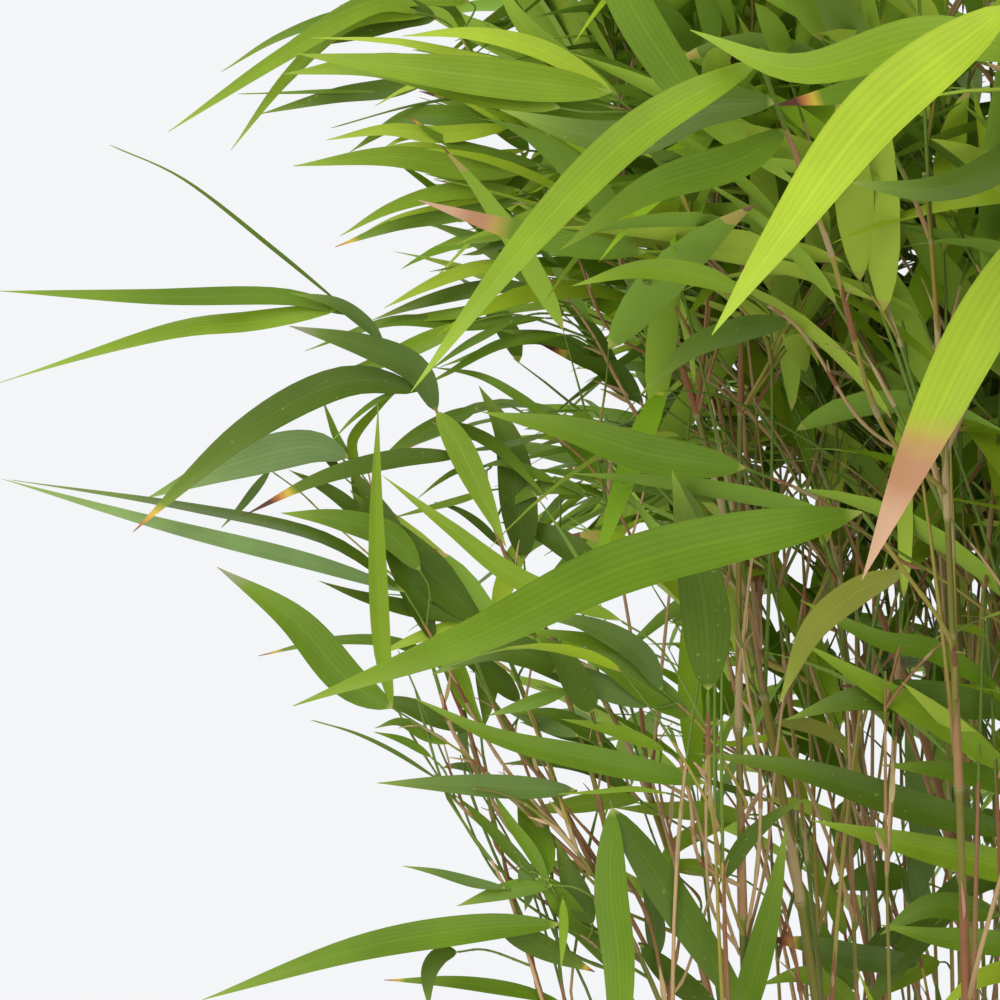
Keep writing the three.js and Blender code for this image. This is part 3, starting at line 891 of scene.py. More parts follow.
# Each line is a stem or, set in, a leaf of the stem above it. A stem has what it grows from (a
# cane, the soil or any place that suits), its bark tone, its depth behind the plane of focus at
# both ends and its radius at both ends. A leaf has a tone and perhaps a kind of tip, its width in
# pixels, its roll at the root and at the tip in degrees, and how far the tip lies nearer (minus)
# or farther than the root. Both end with their places in the photograph from root to tip, as
# column,row in pixels.
# A leaf's tone paints in its shade or light: deep is painted shade, fresh and young partly painted
# light, pale a painted sheen.
SHOOT_TABLE = """
cane 1 -8 -30 1.2 0.5 520,590 478,485 437,412 405,365 376,335 344,307
  full 19 5 20 -12 352,312 285,297 150,297 -2,291
  fresh 24 15 72 10 346,308 255,322 165,334 -2,383
  bluish 15 10 30 -12 385,345 364,322 335,303 290,293
  deep 4.5 0 0 0 338,305 275,250 185,180 110,145
  bluish greyed tip 29 0 10 -30 437,404 416,370 365,346 289,326
  fresh 28 5 0 -14 437,408 456,440 479,487 506,547
  full 6 10 10 -4 402,389 375,402 352,420 333,440
  deep dried tip 34 5 20 -25 415,390 345,382 245,433 133,532
  deep long dried tip 20 10 30 -15 460,462 397,459 320,479 243,516
  full 16 40 20 15 446,425 470,430 505,452 548,500
any 2 20 12 0.8 0.45 430,610 395,540 372,490 349,457
  pale 38 0 15 -8 349,457 306,447 232,465 147,498
  fresh 12 20 40 5 356,470 352,440 375,410 402,386
  full 8 0 20 10 352,462 338,440 330,420 322,398
  full 19 20 20 6 478,408 442,424 410,440 376,464
  deep 15 10 20 6 374,532 355,511 328,490 289,470
  deep 9 10 20 6 346,479 333,464 320,449 303,431
  deep 26 10 20 14 398,545 378,520 362,496 350,462
  fresh 8 10 20 8 490,490 460,500 430,508 392,518
  deep 9 10 20 4 502,547 480,525 458,510 434,502
any 2 70 70 0.6 0.4 330,520 300,492 270,470
  bluish 9 0 0 0 268,470 256,488 240,508 221,528
cane 0 0 -20 1.1 0.6 500,760 450,672 425,625 405,592
  pale 21 30 45 -20 405,592 310,563 160,525 2,479
  deep 21 45 70 -8 410,585 322,539 185,508 12,480
  full 28 0 10 -5 420,570 390,536 335,519 281,513
  deep 18 15 30 4 470,620 410,609 360,596 319,581
  full dried tip 12 20 20 8 460,668 400,644 330,641 258,656
  young 14 20 20 0 478,626 450,628 415,639 374,656
  deep 30 25 10 0 430,640 400,560 385,520 340,455
  deep 40 10 10 8 486,624 440,582 400,542 350,490
  deep 24 10 20 10 520,702 490,672 462,652 425,641
  full 24 10 20 6 520,652 490,628 460,612 420,600
cane 2 -20 -42 0.75 0.45 560,850 490,775 448,743 415,722 392,708
  full greyed tip 39 0 20 -10 393,712 347,680 292,619 217,567
  fresh 20 10 15 -16 390,708 381,640 376,520 378,405
  full 13 10 20 5 448,743 425,735 400,722 375,728
  full 9 20 20 4 431,757 412,745 396,738 374,732
cane 0 -20 -40 0.8 0.5 640,1010 600,950 560,924
  full 31 10 20 -15 560,925 475,929 355,950 202,1000
  deep dried tip 26 20 15 5 500,928 530,940 560,955 595,972
  full 19 10 15 4 552,885 522,888 492,895 457,906
  bluish 11 10 20 4 505,888 475,883 435,872 403,866
  deep 26 0 20 6 592,925 576,892 566,868 556,838
  full 26 10 20 20 540,875 565,905 588,935 620,980
  deep 26 10 20 20 640,945 672,975 700,998 750,1045
  full 31 10 20 40 545,880 540,850 530,820 518,775
  full dried tip 16 30 10 6 560,1002 510,990 450,982 384,980
  full 14 15 20 4 548,881 530,850 512,825 491,790
  deep 13 15 20 8 538,880 505,845 480,818 454,794
  bluish 15 10 20 6 521,866 526,880 529,893 525,911
  fresh 10 10 20 -4 563,900 564,925 563,945 561,968
  deep 24 30 55 0 457,952 441,957 430,975 429,1010
cane 2 20 0 1.1 0.5 560,215 500,110 455,30 410,10
  fresh 19 20 30 -20 420,12 372,8 285,55 168,132
  fresh 18 20 30 -10 425,14 352,22 290,75 231,150
  full 12 20 20 5 430,10 350,14 280,37 221,72
  deep 33 5 20 10 440,22 400,14 355,28 300,48
  fresh 27 5 20 -8 470,2 410,-6 350,14 262,62
  deep 20 10 15 10 455,60 400,86 335,96 260,114
  full 6 20 20 10 450,70 390,88 310,92 238,94
  full 10 30 20 10 480,60 450,8 400,2 340,5
any 2 -95 -120 1.1 0.6 700,240 655,140 612,92
  fresh 40 5 15 -15 612,94 490,78 390,66 297,54
  young 22 20 30 -5 608,86 545,52 470,34 402,36
  full 34 5 15 12 640,130 560,108 470,92 395,78
  young 12 20 20 5 600,92 430,48 375,40 312,38
  fresh 36 5 15 8 560,108 470,86 380,66 284,74
  fresh 26 10 15 5 620,100 560,60 520,20 490,-30
any 0 -20 -35 0.9 0.5 620,260 590,190 545,140 505,125
  young 10 10 20 5 505,125 440,84 408,88 375,106
  deep 4 0 0 -6 585,130 490,99 420,104 331,128
  young 18 10 20 4 510,125 440,135 386,130 326,140
  full 23 10 20 6 520,128 450,117 405,119 350,152
  fresh 26 10 20 -4 530,170 470,169 389,157 293,166
  full dried tip 16 10 40 -8 540,165 500,158 445,141 405,114
  young 10 10 30 4 520,140 440,133 400,140 370,160
any 1 -10 -25 0.9 0.5 610,330 575,250 545,205 520,190
  fresh 18 10 20 -6 522,190 450,192 392,208 340,236
  full dried tip 20 10 20 4 530,203 455,213 400,224 335,247
  young dried tip 7 20 20 6 526,198 450,205 395,218 352,240
  fresh 15 20 15 4 545,215 505,232 470,240 435,246
  deep 14 20 15 8 550,220 510,240 480,252 462,255
any 0 0 -10 0.9 0.5 640,420 590,330 550,280 515,262
  young 15 15 20 -5 515,262 470,270 430,285 384,308
  deep 17 15 20 4 530,285 480,289 425,302 372,320
  fresh 14 30 20 8 535,300 470,312 420,318 376,322
  full 15 30 20 6 545,318 470,325 390,322 305,351
  full 12 30 20 8 560,335 500,345 450,372 425,385
  fresh dried tip 19 10 20 10 470,322 425,342 380,362 322,381
  full 9 10 20 4 512,321 485,335 462,348 430,370
  full 10 10 20 12 562,428 520,398 480,376 432,367
any 2 -140 -185 1.0 0.8 950,640 905,572 862,512
  full 60 5 25 -95 862,512 640,562 470,640 293,706
  olive 30 10 20 25 905,572 858,592 812,632 779,704
cane 2 -30 -130 0.9 0.7 741,930 722,870 710,790 708,690
  deep 50 0 5 -30 708,690 706,620 695,560 672,470
any 2 -150 -265 1.1 0.7 880,420 830,250 760,60
  fresh 42 5 25 -30 760,62 640,130 530,240 411,392
  deep 46 25 20 20 775,100 700,110 620,140 500,110
  full 40 10 20 -30 800,130 740,160 650,190 560,250
any 0 -170 -300 1.2 0.8 1090,300 1070,120 1010,5
  young 66 10 25 -30 1010,8 880,110 780,240 712,335
  young tanned tip 60 15 10 -25 1060,200 980,330 915,460 862,580
  fresh 50 30 20 -10 1040,60 930,40 800,70 690,30
any 1 -60 -110 0.9 0.6 900,560 820,500 745,468
  full 40 5 20 -20 745,468 650,455 570,430 482,412
  fresh 22 5 20 -5 620,620 520,580 450,528 383,476
any 0 -40 -60 0.9 0.6 1080,900 1050,780 1010,712
  deep 37 5 10 -5 1015,705 940,700 860,698 785,720
  deep 33 10 15 5 1020,835 910,806 800,770 695,753
  fresh 34 10 15 -5 1075,885 980,862 890,840 811,820
  full 26 10 15 5 1040,948 970,941 930,936 880,925
  full 24 20 15 5 1000,690 930,650 880,640 800,600
any 2 40 60 0.9 0.6 940,1060 925,980 912,930 901,877
  bluish 29 0 0 5 918,905 925,850 917,790 905,708
  deep 30 5 10 -20 985,860 945,905 905,955 850,1030
  deep 22 5 10 5 920,914 902,928 885,938 860,952
  bluish 20 5 10 5 928,915 918,885 912,865 904,845
  bluish long dried tip 27 5 15 -15 915,965 860,958 815,946 760,938
cane 0 -22 -40 0.95 0.6 742,953 757,870 760,770 748,690 735,600
  full 29 5 15 -10 732,1050 752,980 772,900 787,825
  deep 18 15 20 -5 720,882 745,842 775,815 808,798
any 1 0 -5 0.9 0.5 640,560 600,480 560,440 530,425
  deep 38 5 10 8 524,560 519,510 508,440 479,386
  full 12 20 20 4 555,482 530,472 505,463 478,467
  full 7 20 30 -4 488,466 460,470 440,481 418,498
  full 18 15 20 6 585,492 555,486 530,492 502,511
  deep 7 20 20 8 545,440 515,443 490,448 455,452
  deep 27 10 20 12 606,575 572,550 540,532 500,522
any 1 20 25 0.85 0.5 700,520 668,450 640,402 612,380
  deep long dried tip 17 10 20 -5 650,398 618,372 585,362 538,343
  deep 24 10 20 6 640,402 610,372 590,330 560,300
  full 20 10 20 10 612,380 580,352 545,338 500,330
  full 13 10 20 10 600,372 560,345 520,340 440,367
any 0 -5 -15 0.85 0.5 620,250 580,180 550,155 525,150
  full 22 10 20 -4 530,152 500,124 470,108 438,101
  young 12 20 20 4 525,150 470,158 420,146 360,152
  fresh 12 20 20 8 530,155 500,182 460,180 425,174
  full 16 10 20 8 545,155 510,190 480,200 425,203
any 2 -70 -105 0.9 0.6 760,330 700,270 645,252
  full tanned tip 26 5 15 -10 645,252 580,246 505,228 418,200
any 0 -90 -125 0.9 0.6 860,420 800,330 742,292
  fresh 24 5 20 -10 742,292 700,276 640,270 572,286
  deep 26 5 20 20 790,325 740,330 690,350 640,395
any 0 -190 -235 1.0 0.7 1080,170 1035,90 965,55
  full long dried tip 32 5 20 -10 965,55 900,72 850,92 772,106
  deep 34 10 20 20 1045,110 1000,165 930,190 845,182
any 1 -140 -200 1.0 0.7 760,-240 680,-170 590,-85
  full 44 5 20 -10 590,-85 640,20 710,115 806,192
cane 2 -25 -35 0.9 0.6 745,800 712,742 690,715 662,690
  bluish 26 10 20 -10 662,688 640,655 595,628 540,612
  full 20 25 15 0 655,684 634,652 585,640 524,628
  full 32 10 15 -6 692,716 650,690 610,664 560,644
  bluish 26 5 10 8 652,706 610,690 560,672 496,654
  deep 30 5 15 -14 592,712 580,690 560,655 536,634
  deep 32 10 20 4 556,672 530,655 490,648 432,675
  full 15 10 20 4 568,690 540,700 515,708 487,716
  bluish 15 10 20 30 578,736 552,728 532,720 506,711
any 3 -15 -20 0.7 0.5 640,800 622,760 604,738
  full 22 10 20 5 606,740 580,728 550,716 514,711
  full 18 20 20 15 620,756 590,738 560,732 520,722
  deep 16 10 20 20 640,790 600,772 560,762 500,764
cane 2 10 5 0.9 0.5 520,860 482,770 462,700 452,668
  fresh 22 10 20 -4 450,650 460,680 470,705 486,730
  full 24 10 20 4 484,648 488,680 487,705 484,728
  bluish 11 10 20 4 461,715 463,735 465,750 471,778
  deep 20 10 20 8 470,735 430,716 400,704 352,700
  deep dried tip 9 10 20 4 490,774 470,768 455,766 440,768
any 3 20 50 0.7 0.5 700,900 664,860 640,800
  fresh 17 5 10 10 722,872 700,868 680,866 650,862
  bluish 21 5 25 -10 656,958 655,930 650,900 640,868
  fresh 20 5 10 10 750,818 710,812 665,810 615,808
  fresh 18 5 10 -10 738,816 702,830 672,850 648,890
  fresh 20 10 20 10 640,800 610,800 570,806 520,812
any 0 60 85 0.8 0.5 870,1040 850,960 842,900 845,800
  fresh 15 10 15 5 842,938 835,910 824,885 808,856
  full 32 5 15 5 845,800 848,830 846,850 838,876
  full 30 5 15 5 912,880 880,876 860,880 828,890
  fresh 26 5 15 5 940,962 915,968 895,980 866,1002
  full 24 5 15 5 850,990 825,950 805,900 790,860
  fresh 22 5 15 5 856,1010 830,985 800,975 760,985
any 2 -10 -20 0.9 0.5 1070,1030 1050,960 1020,930 985,905
  young 22 10 20 -6 1050,962 1010,970 975,982 935,1012
  deep 20 10 20 6 1030,890 1000,880 975,888 935,925
  full 28 10 20 10 1000,918 960,908 925,908 880,935
any 0 -40 -65 0.9 0.5 1060,860 1035,805 1008,772
  fresh 30 10 20 -6 1008,772 950,728 880,690 802,642
  full 24 10 20 6 1030,800 990,780 940,770 880,765
any 2 10 0 0.8 0.5 800,880 785,800 775,722
  olive 16 10 30 -6 775,722 812,726 845,745 867,792
  young 9 10 20 -6 776,735 755,740 735,744 708,742
  deep 8 10 20 4 757,796 735,790 715,784 693,772
cane 2 60 70 1.5 0.9 745,640 735,520 722,420 702,330 690,250
cane 1 65 80 1.3 0.8 752,640 744,520 734,440 722,370 712,330
cane 0 70 60 1.3 0.8 756,620 748,520 744,420 738,340 735,280
cane 1 70 75 1.1 0.7 760,600 752,480 742,420 756,370 775,340
cane 0 72 90 1.1 0.7 760,620 745,500 728,440 705,380 690,352
cane 1 4 8 1.3 0.7 487,775 478,763 466,723 452,690 440,655
cane 1 0 8 1.3 0.7 560,800 539,772 512,728 487,692 470,660
any 1 0 10 1.1 0.6 804,1010 795,955 784,910 778,880
any 1 60 70 0.8 0.5 900,960 878,922 874,870 867,812
cane 0 -22 -45 0.95 0.6 737,948 714,876 690,794 671,728
cane 0 -22 -10 0.9 0.5 745,948 766,862 776,760 785,690 800,620
cane 0 -22 -60 0.85 0.5 736,946 710,900 706,800 708,700
cane 0 -30 -20 0.85 0.5 668,1000 685,975 707,905 722,840
cane 1 -30 -20 0.85 0.5 668,1000 680,930 676,860 660,790 662,740
cane 1 -30 -20 0.95 0.5 665,1000 640,900 560,800 510,740 470,650
cane 1 -24 -20 0.9 0.6 735,690 722,620 730,560 725,500
cane 0 -24 -40 0.9 0.6 737,690 745,620 752,560 765,500
any 3 -25 -40 0.85 0.6 562,945 533,880 500,843 456,801 434,774
  deep 4.5 0 0 0 438,777 395,752 355,733 311,720
soil 0 -34 -30 1.5 0.6 542,1000 505,885 477,842 448,799 432,750 415,690
cane 0 -10 -10 1.4 0.9 520,840 469,758 451,727 438,684 428,650
soil 1 -22 -15 1.8 0.9 672,1000 632,920 584,842 553,796 520,750 489,694 470,640
cane 2 -15 -15 1.4 1.0 612,860 596,789 580,735 566,690 560,640
soil 2 -28 -20 1.6 0.6 540,990 520,920 508,885 495,820 470,745
soil 3 -10 5 1.5 0.5 565,1000 545,930 520,860 480,790 455,735
cane 0 -35 -45 1.0 0.7 700,860 690,800 676,745 668,725
soil 1 -20 -15 1.3 0.9 564,1000 556,929 552,880 548,820
soil 3 -18 -10 1.5 0.7 540,1000 523,919 496,858 473,800 460,755
cane 1 -5 5 1.0 0.6 506,860 493,800 484,760 480,725
cane 3 -20 -25 0.8 0.4 500,870 438,776 404,722 388,690
cane 3 -15 -18 0.8 0.4 505,885 450,771 420,700 398,650
cane 1 -5 0 1.0 0.6 540,800 513,734 488,696 475,670
soil 0 -5 0 1.1 0.7 571,997 579,923 586,860 600,800
soil 2 -10 -5 1.2 0.7 591,1000 576,967 560,930 535,870
any 1 -18 -42 0.9 0.6 577,660 590,705 605,765 612,808
  bluish 24 5 10 -6 575,790 505,787 440,784 377,783
  full 27 5 15 -12 706,783 605,762 500,738 414,698
  fresh 14 15 15 5 664,750 635,738 600,727 561,719
  fresh 6 5 5 -5 666,793 632,789 595,792 558,794
  deep 37 5 15 0 622,806 652,868 700,940 778,1060
  full 35 0 10 -12 610,812 611,890 620,980 616,1120
"""


def read_shoots(table):
    """The table's shoots, each as its stem and its leaves: (what it grows from, numbers ...) and
    (tone, kind of tip, numbers ...)."""
    shoots = []
    for line in table.strip().splitlines():
        parts = line.replace(",", " ").split()
        words = [part for part in parts if part.isalpha()]
        numbers = [float(part) for part in parts[len(words):]]
        if line.startswith(" "):
            shoots[-1][1].append((words[0], " ".join(words[1:]), *numbers))
        else:
            shoots.append(((words[0], *numbers), []))
    return shoots


SHOOTS = read_shoots(SHOOT_TABLE)


# ---- Finishes ------------------------------------------------------------------------------


# Each tone of leaf is the leaf colour times its light plus its tint, so the tones are lit and
# shaded copies of one green: the light numbers paint shade and light into the leaves' colour.
# The shares are of all sprays, from the shaded ones to those that catch the light: deep is
# painted shade, and fresh and young are partly the paler green of new leaves and partly
# painted light, which also stands in for light shining through a leaf. The last two tones are
# on leaves of the shoots only. Close is what dims a tone on the shoots' veined leaves.
LEAF_TONES_LIT_AND_SHADED = {
    "bluish": {"light": 0.72, "tint": (0.01, 0.005, 0.028), "share": 0.1, "close": 0.7},
    "deep": {"light": 0.66, "tint": (0.0, 0.0, 0.002), "share": 0.2, "close": 0.6},
    "full": {"light": 1.0, "tint": (0.0, 0.0, 0.0), "share": 0.3, "close": 0.62},
    "fresh": {"light": 1.36, "tint": (0.03, 0.0, 0.0), "share": 0.27, "close": 0.66},
    "young": {"light": 1.5, "tint": (0.085, 0.01, 0.006), "share": 0.13, "close": 0.88},
    # pale is painted sheen: the whitish gloss reflected off a leaf, put into its colour as a
    # grey-blue green.
    "pale": {"light": 0.75, "tint": (0.047, 0.045, 0.072), "share": 0.0, "close": 0.95},
    "olive": {"light": 0.5, "tint": (0.105, 0.055, 0.016), "share": 0.0, "close": 0.95},
}
UNDERSIDE = (0.055, 0.062, 0.028)
TURNING_TIP = (0.45, 0.37, 0.08)
DRY_TIP = (0.2, 0.1, 0.055)
COLLAR = (0.36, 0.38, 0.05)


def leaf_color(base, tone, under):
    """A tone's colour on the leaf's upper side or underside."""
    colors = LEAF_TONES_LIT_AND_SHADED[tone]
    mixed = np.array(base) * colors["light"] + colors["tint"]
    return tuple(float(part) for part in mixed + (np.array(UNDERSIDE) if under else 0))


def leaf_materials(base, tone):
    """Plain finishes of one tone of leaf: above, below, stalk, yellowed end and dried tip."""
    top, under = leaf_color(base, tone, False), leaf_color(base, tone, True)
    return [
        Shader(f"leaf {tone} upper side", top, 0.5, specular=0.12).material,
        Shader(f"leaf {tone} underside", under, 0.65, specular=0.12).material,
        Shader(f"leaf {tone} stalk", COLLAR, 0.6).material,
        Shader(f"leaf {tone} yellowed end", TURNING_TIP, 0.7).material,
        Shader(f"leaf {tone} dried tip", DRY_TIP, 0.8).material,
    ]


DRIED = ((0.0, (0.55, 0.4, 0.05)), (0.045, (0.46, 0.17, 0.045)), (0.085, (0.09, 0.035, 0.022)))
TANNED = ((0.0, (0.42, 0.3, 0.06)), (0.05, (0.4, 0.2, 0.1)), (0.2, (0.5, 0.3, 0.18)))
# Tips that have turned: the share of the leaf at which they start, how fast one stage gives way
# to the next, and the stages, each with its distance from the start and its colour.
TIPS = {
    "dried tip": (0.87, 22.0, DRIED),
    "long dried tip": (0.74, 22.0, DRIED),
    "greyed tip": (0.8, 9.0, ((0.03, (0.27, 0.28, 0.16)),)),
    "tanned tip": (0.57, 12.0, TANNED),
}


def veined_finish(base, tone, side, dry):
    """A leaf seen close: fine parallel veins, a paler midrib, a pale collar, specks on a deep
    tone, and a tip that turns paler, or goes through the stages of its kind of tip."""
    close = LEAF_TONES_LIT_AND_SHADED[tone]["close"]
    color = tuple(close * part for part in leaf_color(base, tone, side == "underside"))
    shader = Shader(f"veined {tone} {side} {dry or 'whole'}", color, 0.4, specular=0.15)
    across, along = shader.along()
    place = along.fraction()
    darker = tuple(0.56 * np.array(color))
    paler = tuple(1.4 * np.array(color) + (0.012, 0.014, 0.003))
    veins = (across * 138.0).sine() * 0.08 + (across * 47.0 + 0.8).sine() * 0.06 + 0.1
    cloud = shader.noise(38.0, 3.0)
    skin = shader.blend((veins + cloud * 0.66).clipped(), paler, darker)
    rib = (1.0 - (across - 0.5).size() * 18.0).clipped()
    skin = shader.blend(rib * 0.35, skin, paler)
    skin = shader.blend((place**5.0 * 0.5).clipped(), skin, (0.34, 0.45, 0.06))
    if tone == "deep":
        specks = ((shader.noise(420.0, 1.0) - 0.72) * 14.0).clipped()
        skin = shader.blend(specks * 0.32, skin, (0.4, 0.45, 0.16))
    skin = shader.blend(((0.032 - place) * 45.0).clipped(), skin, (0.27, 0.33, 0.06))
    if dry:
        start, fast, stages = TIPS[dry]
        edge = place + (cloud - 0.5) * 0.12
        for later, stage in stages:
            skin = shader.blend(((edge - start - later) * fast).clipped(), skin, stage)
    shader.feed("Base Color", skin)
    return shader.material


def plain_finishes(label, colors, roughness):
    """A material of one even colour for each of the colours."""
    return [
        Shader(f"{label} {number}", color, roughness, specular=0.2).material
        for number, color in enumerate(colors, 1)
    ]


# ---- Operators -----------------------------------------------------------------------------


class GrowPot(bpy.types.Operator):
    """Turn the pot: a tapered wall, a rolled rim and a flat underside"""

    bl_idname = "bamboo.grow_pot"
    bl_label = "Pot"

    def execute(self, context):
        settings = context.scene.bamboo
        finish = pot_finish(tuple(settings.pot_color))
        piece = add_lathed("pot_shell", pot_profile(), POT_SIDES, [finish])
        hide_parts("pot")
        return {"FINISHED"}


POT_SIDES = 96
WALL_RINGS = 8
# The radius of a ring on the flat underside and floor.
MIDDLE_RING = 60.0
ARC_POINTS = 5
# Radii of the roundings: at the underside, under the rim, on top of it and inside it.
FOOT_ROUNDING = 3.0
LOWER_ROUNDING = 1.6
UPPER_ROUNDING = 2.6
INNER_ROUNDING = 2.0


def wall_radius(z):
    """The pot's outer radius under the rim at a height."""
    return between(POT_FOOT_RADIUS, POT_RIM_RADIUS - POT_LIP, z / POT_HEIGHT)


def inner_radius(z):
    """The pot's inner radius at a height."""
    return wall_radius(z) - POT_WALL


def arc(radius, z, size, start, stop):
    """Points on a circle's arc, as radius and height."""
    turn = np.radians(np.linspace(start, stop, ARC_POINTS))
    return np.stack([radius + size * np.cos(turn), z + size * np.sin(turn)], axis=-1)


def pot_profile():
    """The pot's profile from the middle of its underside, up the wall, over the rolled rim and
    down inside to its floor."""
    rim = POT_HEIGHT - POT_RIM_DEPTH
    heights = np.linspace(8, rim - 1.5, WALL_RINGS)
    inner_top, half = inner_radius(POT_HEIGHT), 0.5 * POT_HEIGHT
    return np.concatenate([
        [[0.0, 0.0], [MIDDLE_RING, 0.0], [POT_FOOT_RADIUS - 4.0, 0.0]],
        arc(POT_FOOT_RADIUS - FOOT_ROUNDING, FOOT_ROUNDING, FOOT_ROUNDING, -80, -5),
        np.stack([wall_radius(heights), heights], axis=-1),
        [[wall_radius(rim) + 0.4, rim]],
        arc(POT_RIM_RADIUS - LOWER_ROUNDING, rim + LOWER_ROUNDING, LOWER_ROUNDING, -90, 0),
        [[POT_RIM_RADIUS, rim + 8.0], [POT_RIM_RADIUS, POT_HEIGHT - 5.0]],
        arc(POT_RIM_RADIUS - UPPER_ROUNDING, POT_HEIGHT - UPPER_ROUNDING, UPPER_ROUNDING, 10, 90),
        arc(inner_top + INNER_ROUNDING, POT_HEIGHT - INNER_ROUNDING, INNER_ROUNDING, 90, 175),
        [[inner_top - 0.3, POT_HEIGHT - 8.0], [inner_radius(half), half]],
        [[inner_radius(POT_FLOOR), POT_FLOOR], [MIDDLE_RING, POT_FLOOR], [0.0, POT_FLOOR]],
    ])


def add_lathed(name, profile, sides, materials):
    """A lathed piece. The profile's two ends lie on the axis and close to one corner each."""
    body = lathe(profile[1:-1], sides)
    ends = [[0, 0, profile[0][1]], [0, 0, profile[-1][1]]]
    corners = np.concatenate([body.reshape(-1, 3), ends])
    last, middle = (len(body) - 1) * sides, len(body) * sides
    ring = np.arange(sides)
    following = (ring + 1) % sides
    first = np.stack([following, ring, middle + 0 * ring], axis=-1)
    final = np.stack([last + ring, last + following, middle + 1 + 0 * ring], axis=-1)
    faces = [grid_faces(1, len(body), sides), np.concatenate([first, final])]
    return add_piece(name, corners, faces, materials, sharp=50)


def pot_finish(color):
    """Moulded matt plastic: fine speckle and faint clouds of dust."""
    shader = Shader("pot plastic", color, 0.55)
    speckle = shader.noise(900.0, 2.0)
    cloud = shader.noise(9.0, 4.0)
    dusty = tuple(between(np.array(color), np.array((0.11, 0.1, 0.085)), 0.45))
    shader.feed("Base Color", shader.blend(cloud * 0.55, color, dusty))
    shader.feed("Roughness", 0.5 + cloud * 0.16)
    shader.bump(speckle, 0.25, 0.0004)
    return shader.material


class GrowSoil(bpy.types.Operator):
    """Fill the pot with crumbly soil and scraps of bark"""

    bl_idname = "bamboo.grow_soil"
    bl_label = "Soil"

    def execute(self, context):
        soil = add_piece("soil_fill", *soil_mound(), [soil_finish()])
        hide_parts("soil")
        corners, faces, slots = bark_scraps()
        finishes = plain_finishes("bark", BARK_COLORS, 0.9)
        scraps = add_piece("bark_scraps", corners, faces, finishes, slots)
        return {"FINISHED"}


SOIL_SIDES = 160
SOIL_RINGS = 44
SCRAP_COUNT = 900
SCRAP_REACH = 124
SCRAP_SIDES = 6
BARK_COLORS = ((0.09, 0.045, 0.022), (0.05, 0.026, 0.015), (0.14, 0.08, 0.04))


def soil_mound():
    """The soil: a grid of rings whose height ripples by sums of sines at three scales, closed by
    a plain wall and floor."""
    radii = np.concatenate([np.linspace(0.02, 0.98, SOIL_RINGS), [1.0]])
    radii = (inner_radius(SOIL_TOP) - CLEAR) * radii
    turn = circle(SOIL_SIDES)
    x, y = radii[:, None] * np.cos(turn), radii[:, None] * np.sin(turn)
    rough = (
        np.sin(x * 0.11 + 1.3) * np.cos(y * 0.13)
        + 0.6 * np.sin(x * 0.41 + y * 0.23) * np.cos(y * 0.37 - x * 0.19)
        + 0.45 * np.sin(x * 1.1 - y * 0.7) * np.sin(y * 1.3 + x * 0.5)
    )
    grain = chance(np.round(x * 3), np.round(y * 3), 3) - 0.5
    height = SOIL_TOP - 1.5 + 1.1 * rough + 1.3 * grain
    height[-1] = SOIL_TOP - 2.0
    top = np.stack([x, y, height], axis=-1)
    half, foot = 0.5 * POT_HEIGHT, POT_FLOOR + CLEAR
    wall = [[inner_radius(half) - CLEAR, half], [inner_radius(foot) - CLEAR, foot + 0.1]]
    rings = np.concatenate([top, lathe(wall, SOIL_SIDES)])[::-1]
    shape = (1, len(rings), SOIL_SIDES)
    return rings.reshape(-1, 3), [grid_faces(*shape), cap_faces(*shape)]


def bark_scraps():
    """Scraps of bark: six-cornered flat chips, tilted and turned by chance, strewn between the
    canes."""
    number = np.arange(SCRAP_COUNT)
    radius = SCRAP_REACH * np.sqrt(chance(number, 1, 51))
    angle = FULL_TURN * chance(number, 2, 51)
    long = between(2.2, 8.5, chance(number, 3, 51) ** 2)
    wide = vary(1.2, 4.0, number, 4, 51)
    thick = vary(0.6, 1.8, number, 5, 51)
    corner = np.arange(SCRAP_SIDES)
    turn = corner * np.pi / 3
    ring = np.stack([np.cos(turn), np.sin(turn)], axis=-1)
    ring = ring[None] * vary(0.65, 1.15, number[:, None], corner[None], 52)[..., None]
    spin = FULL_TURN * chance(number, 6, 51)
    tilt = vary(-0.5, 0.5, number, 7, 51)
    lean = vary(-0.5, 0.5, number, 8, 51)
    flat = np.stack([ring[..., 0] * long[:, None], ring[..., 1] * wide[:, None]], axis=-1)
    x = flat[..., 0] * np.cos(spin)[:, None] - flat[..., 1] * np.sin(spin)[:, None]
    y = flat[..., 0] * np.sin(spin)[:, None] + flat[..., 1] * np.cos(spin)[:, None]
    z = x * np.tan(tilt)[:, None] * 0.6 + y * np.tan(lean)[:, None] * 0.6
    base = round_axis(radius, angle, np.full(SCRAP_COUNT, SOIL_TOP - 0.6))[:, None]
    low = np.stack([x, y, z - 0.5 * thick[:, None]], axis=-1) + base
    high = np.stack([x * 0.86, y * 0.86, z + 0.5 * thick[:, None]], axis=-1) + base
    corners = np.stack([low, high], axis=1)
    tone = np.floor(len(BARK_COLORS) * chance(number, 9, 51)).astype(int)
    shape = (SCRAP_COUNT, 2, SCRAP_SIDES)
    slots = [np.repeat(tone, SCRAP_SIDES), np.repeat(tone, 2)]
    return corners, [grid_faces(*shape), cap_faces(*shape)], slots


def soil_finish():
    """Damp peat: two browns in patches, very rough, with a crumbly bump."""
    shader = Shader("soil peat", (0.05, 0.03, 0.018), 0.95)
    patch = shader.noise(60.0, 5.0)
    shader.feed("Base Color", shader.blend(patch, (0.03, 0.018, 0.011), (0.085, 0.05, 0.028)))
    shader.bump(shader.noise(700.0, 4.0), 0.7, 0.0012)
    return shader.material


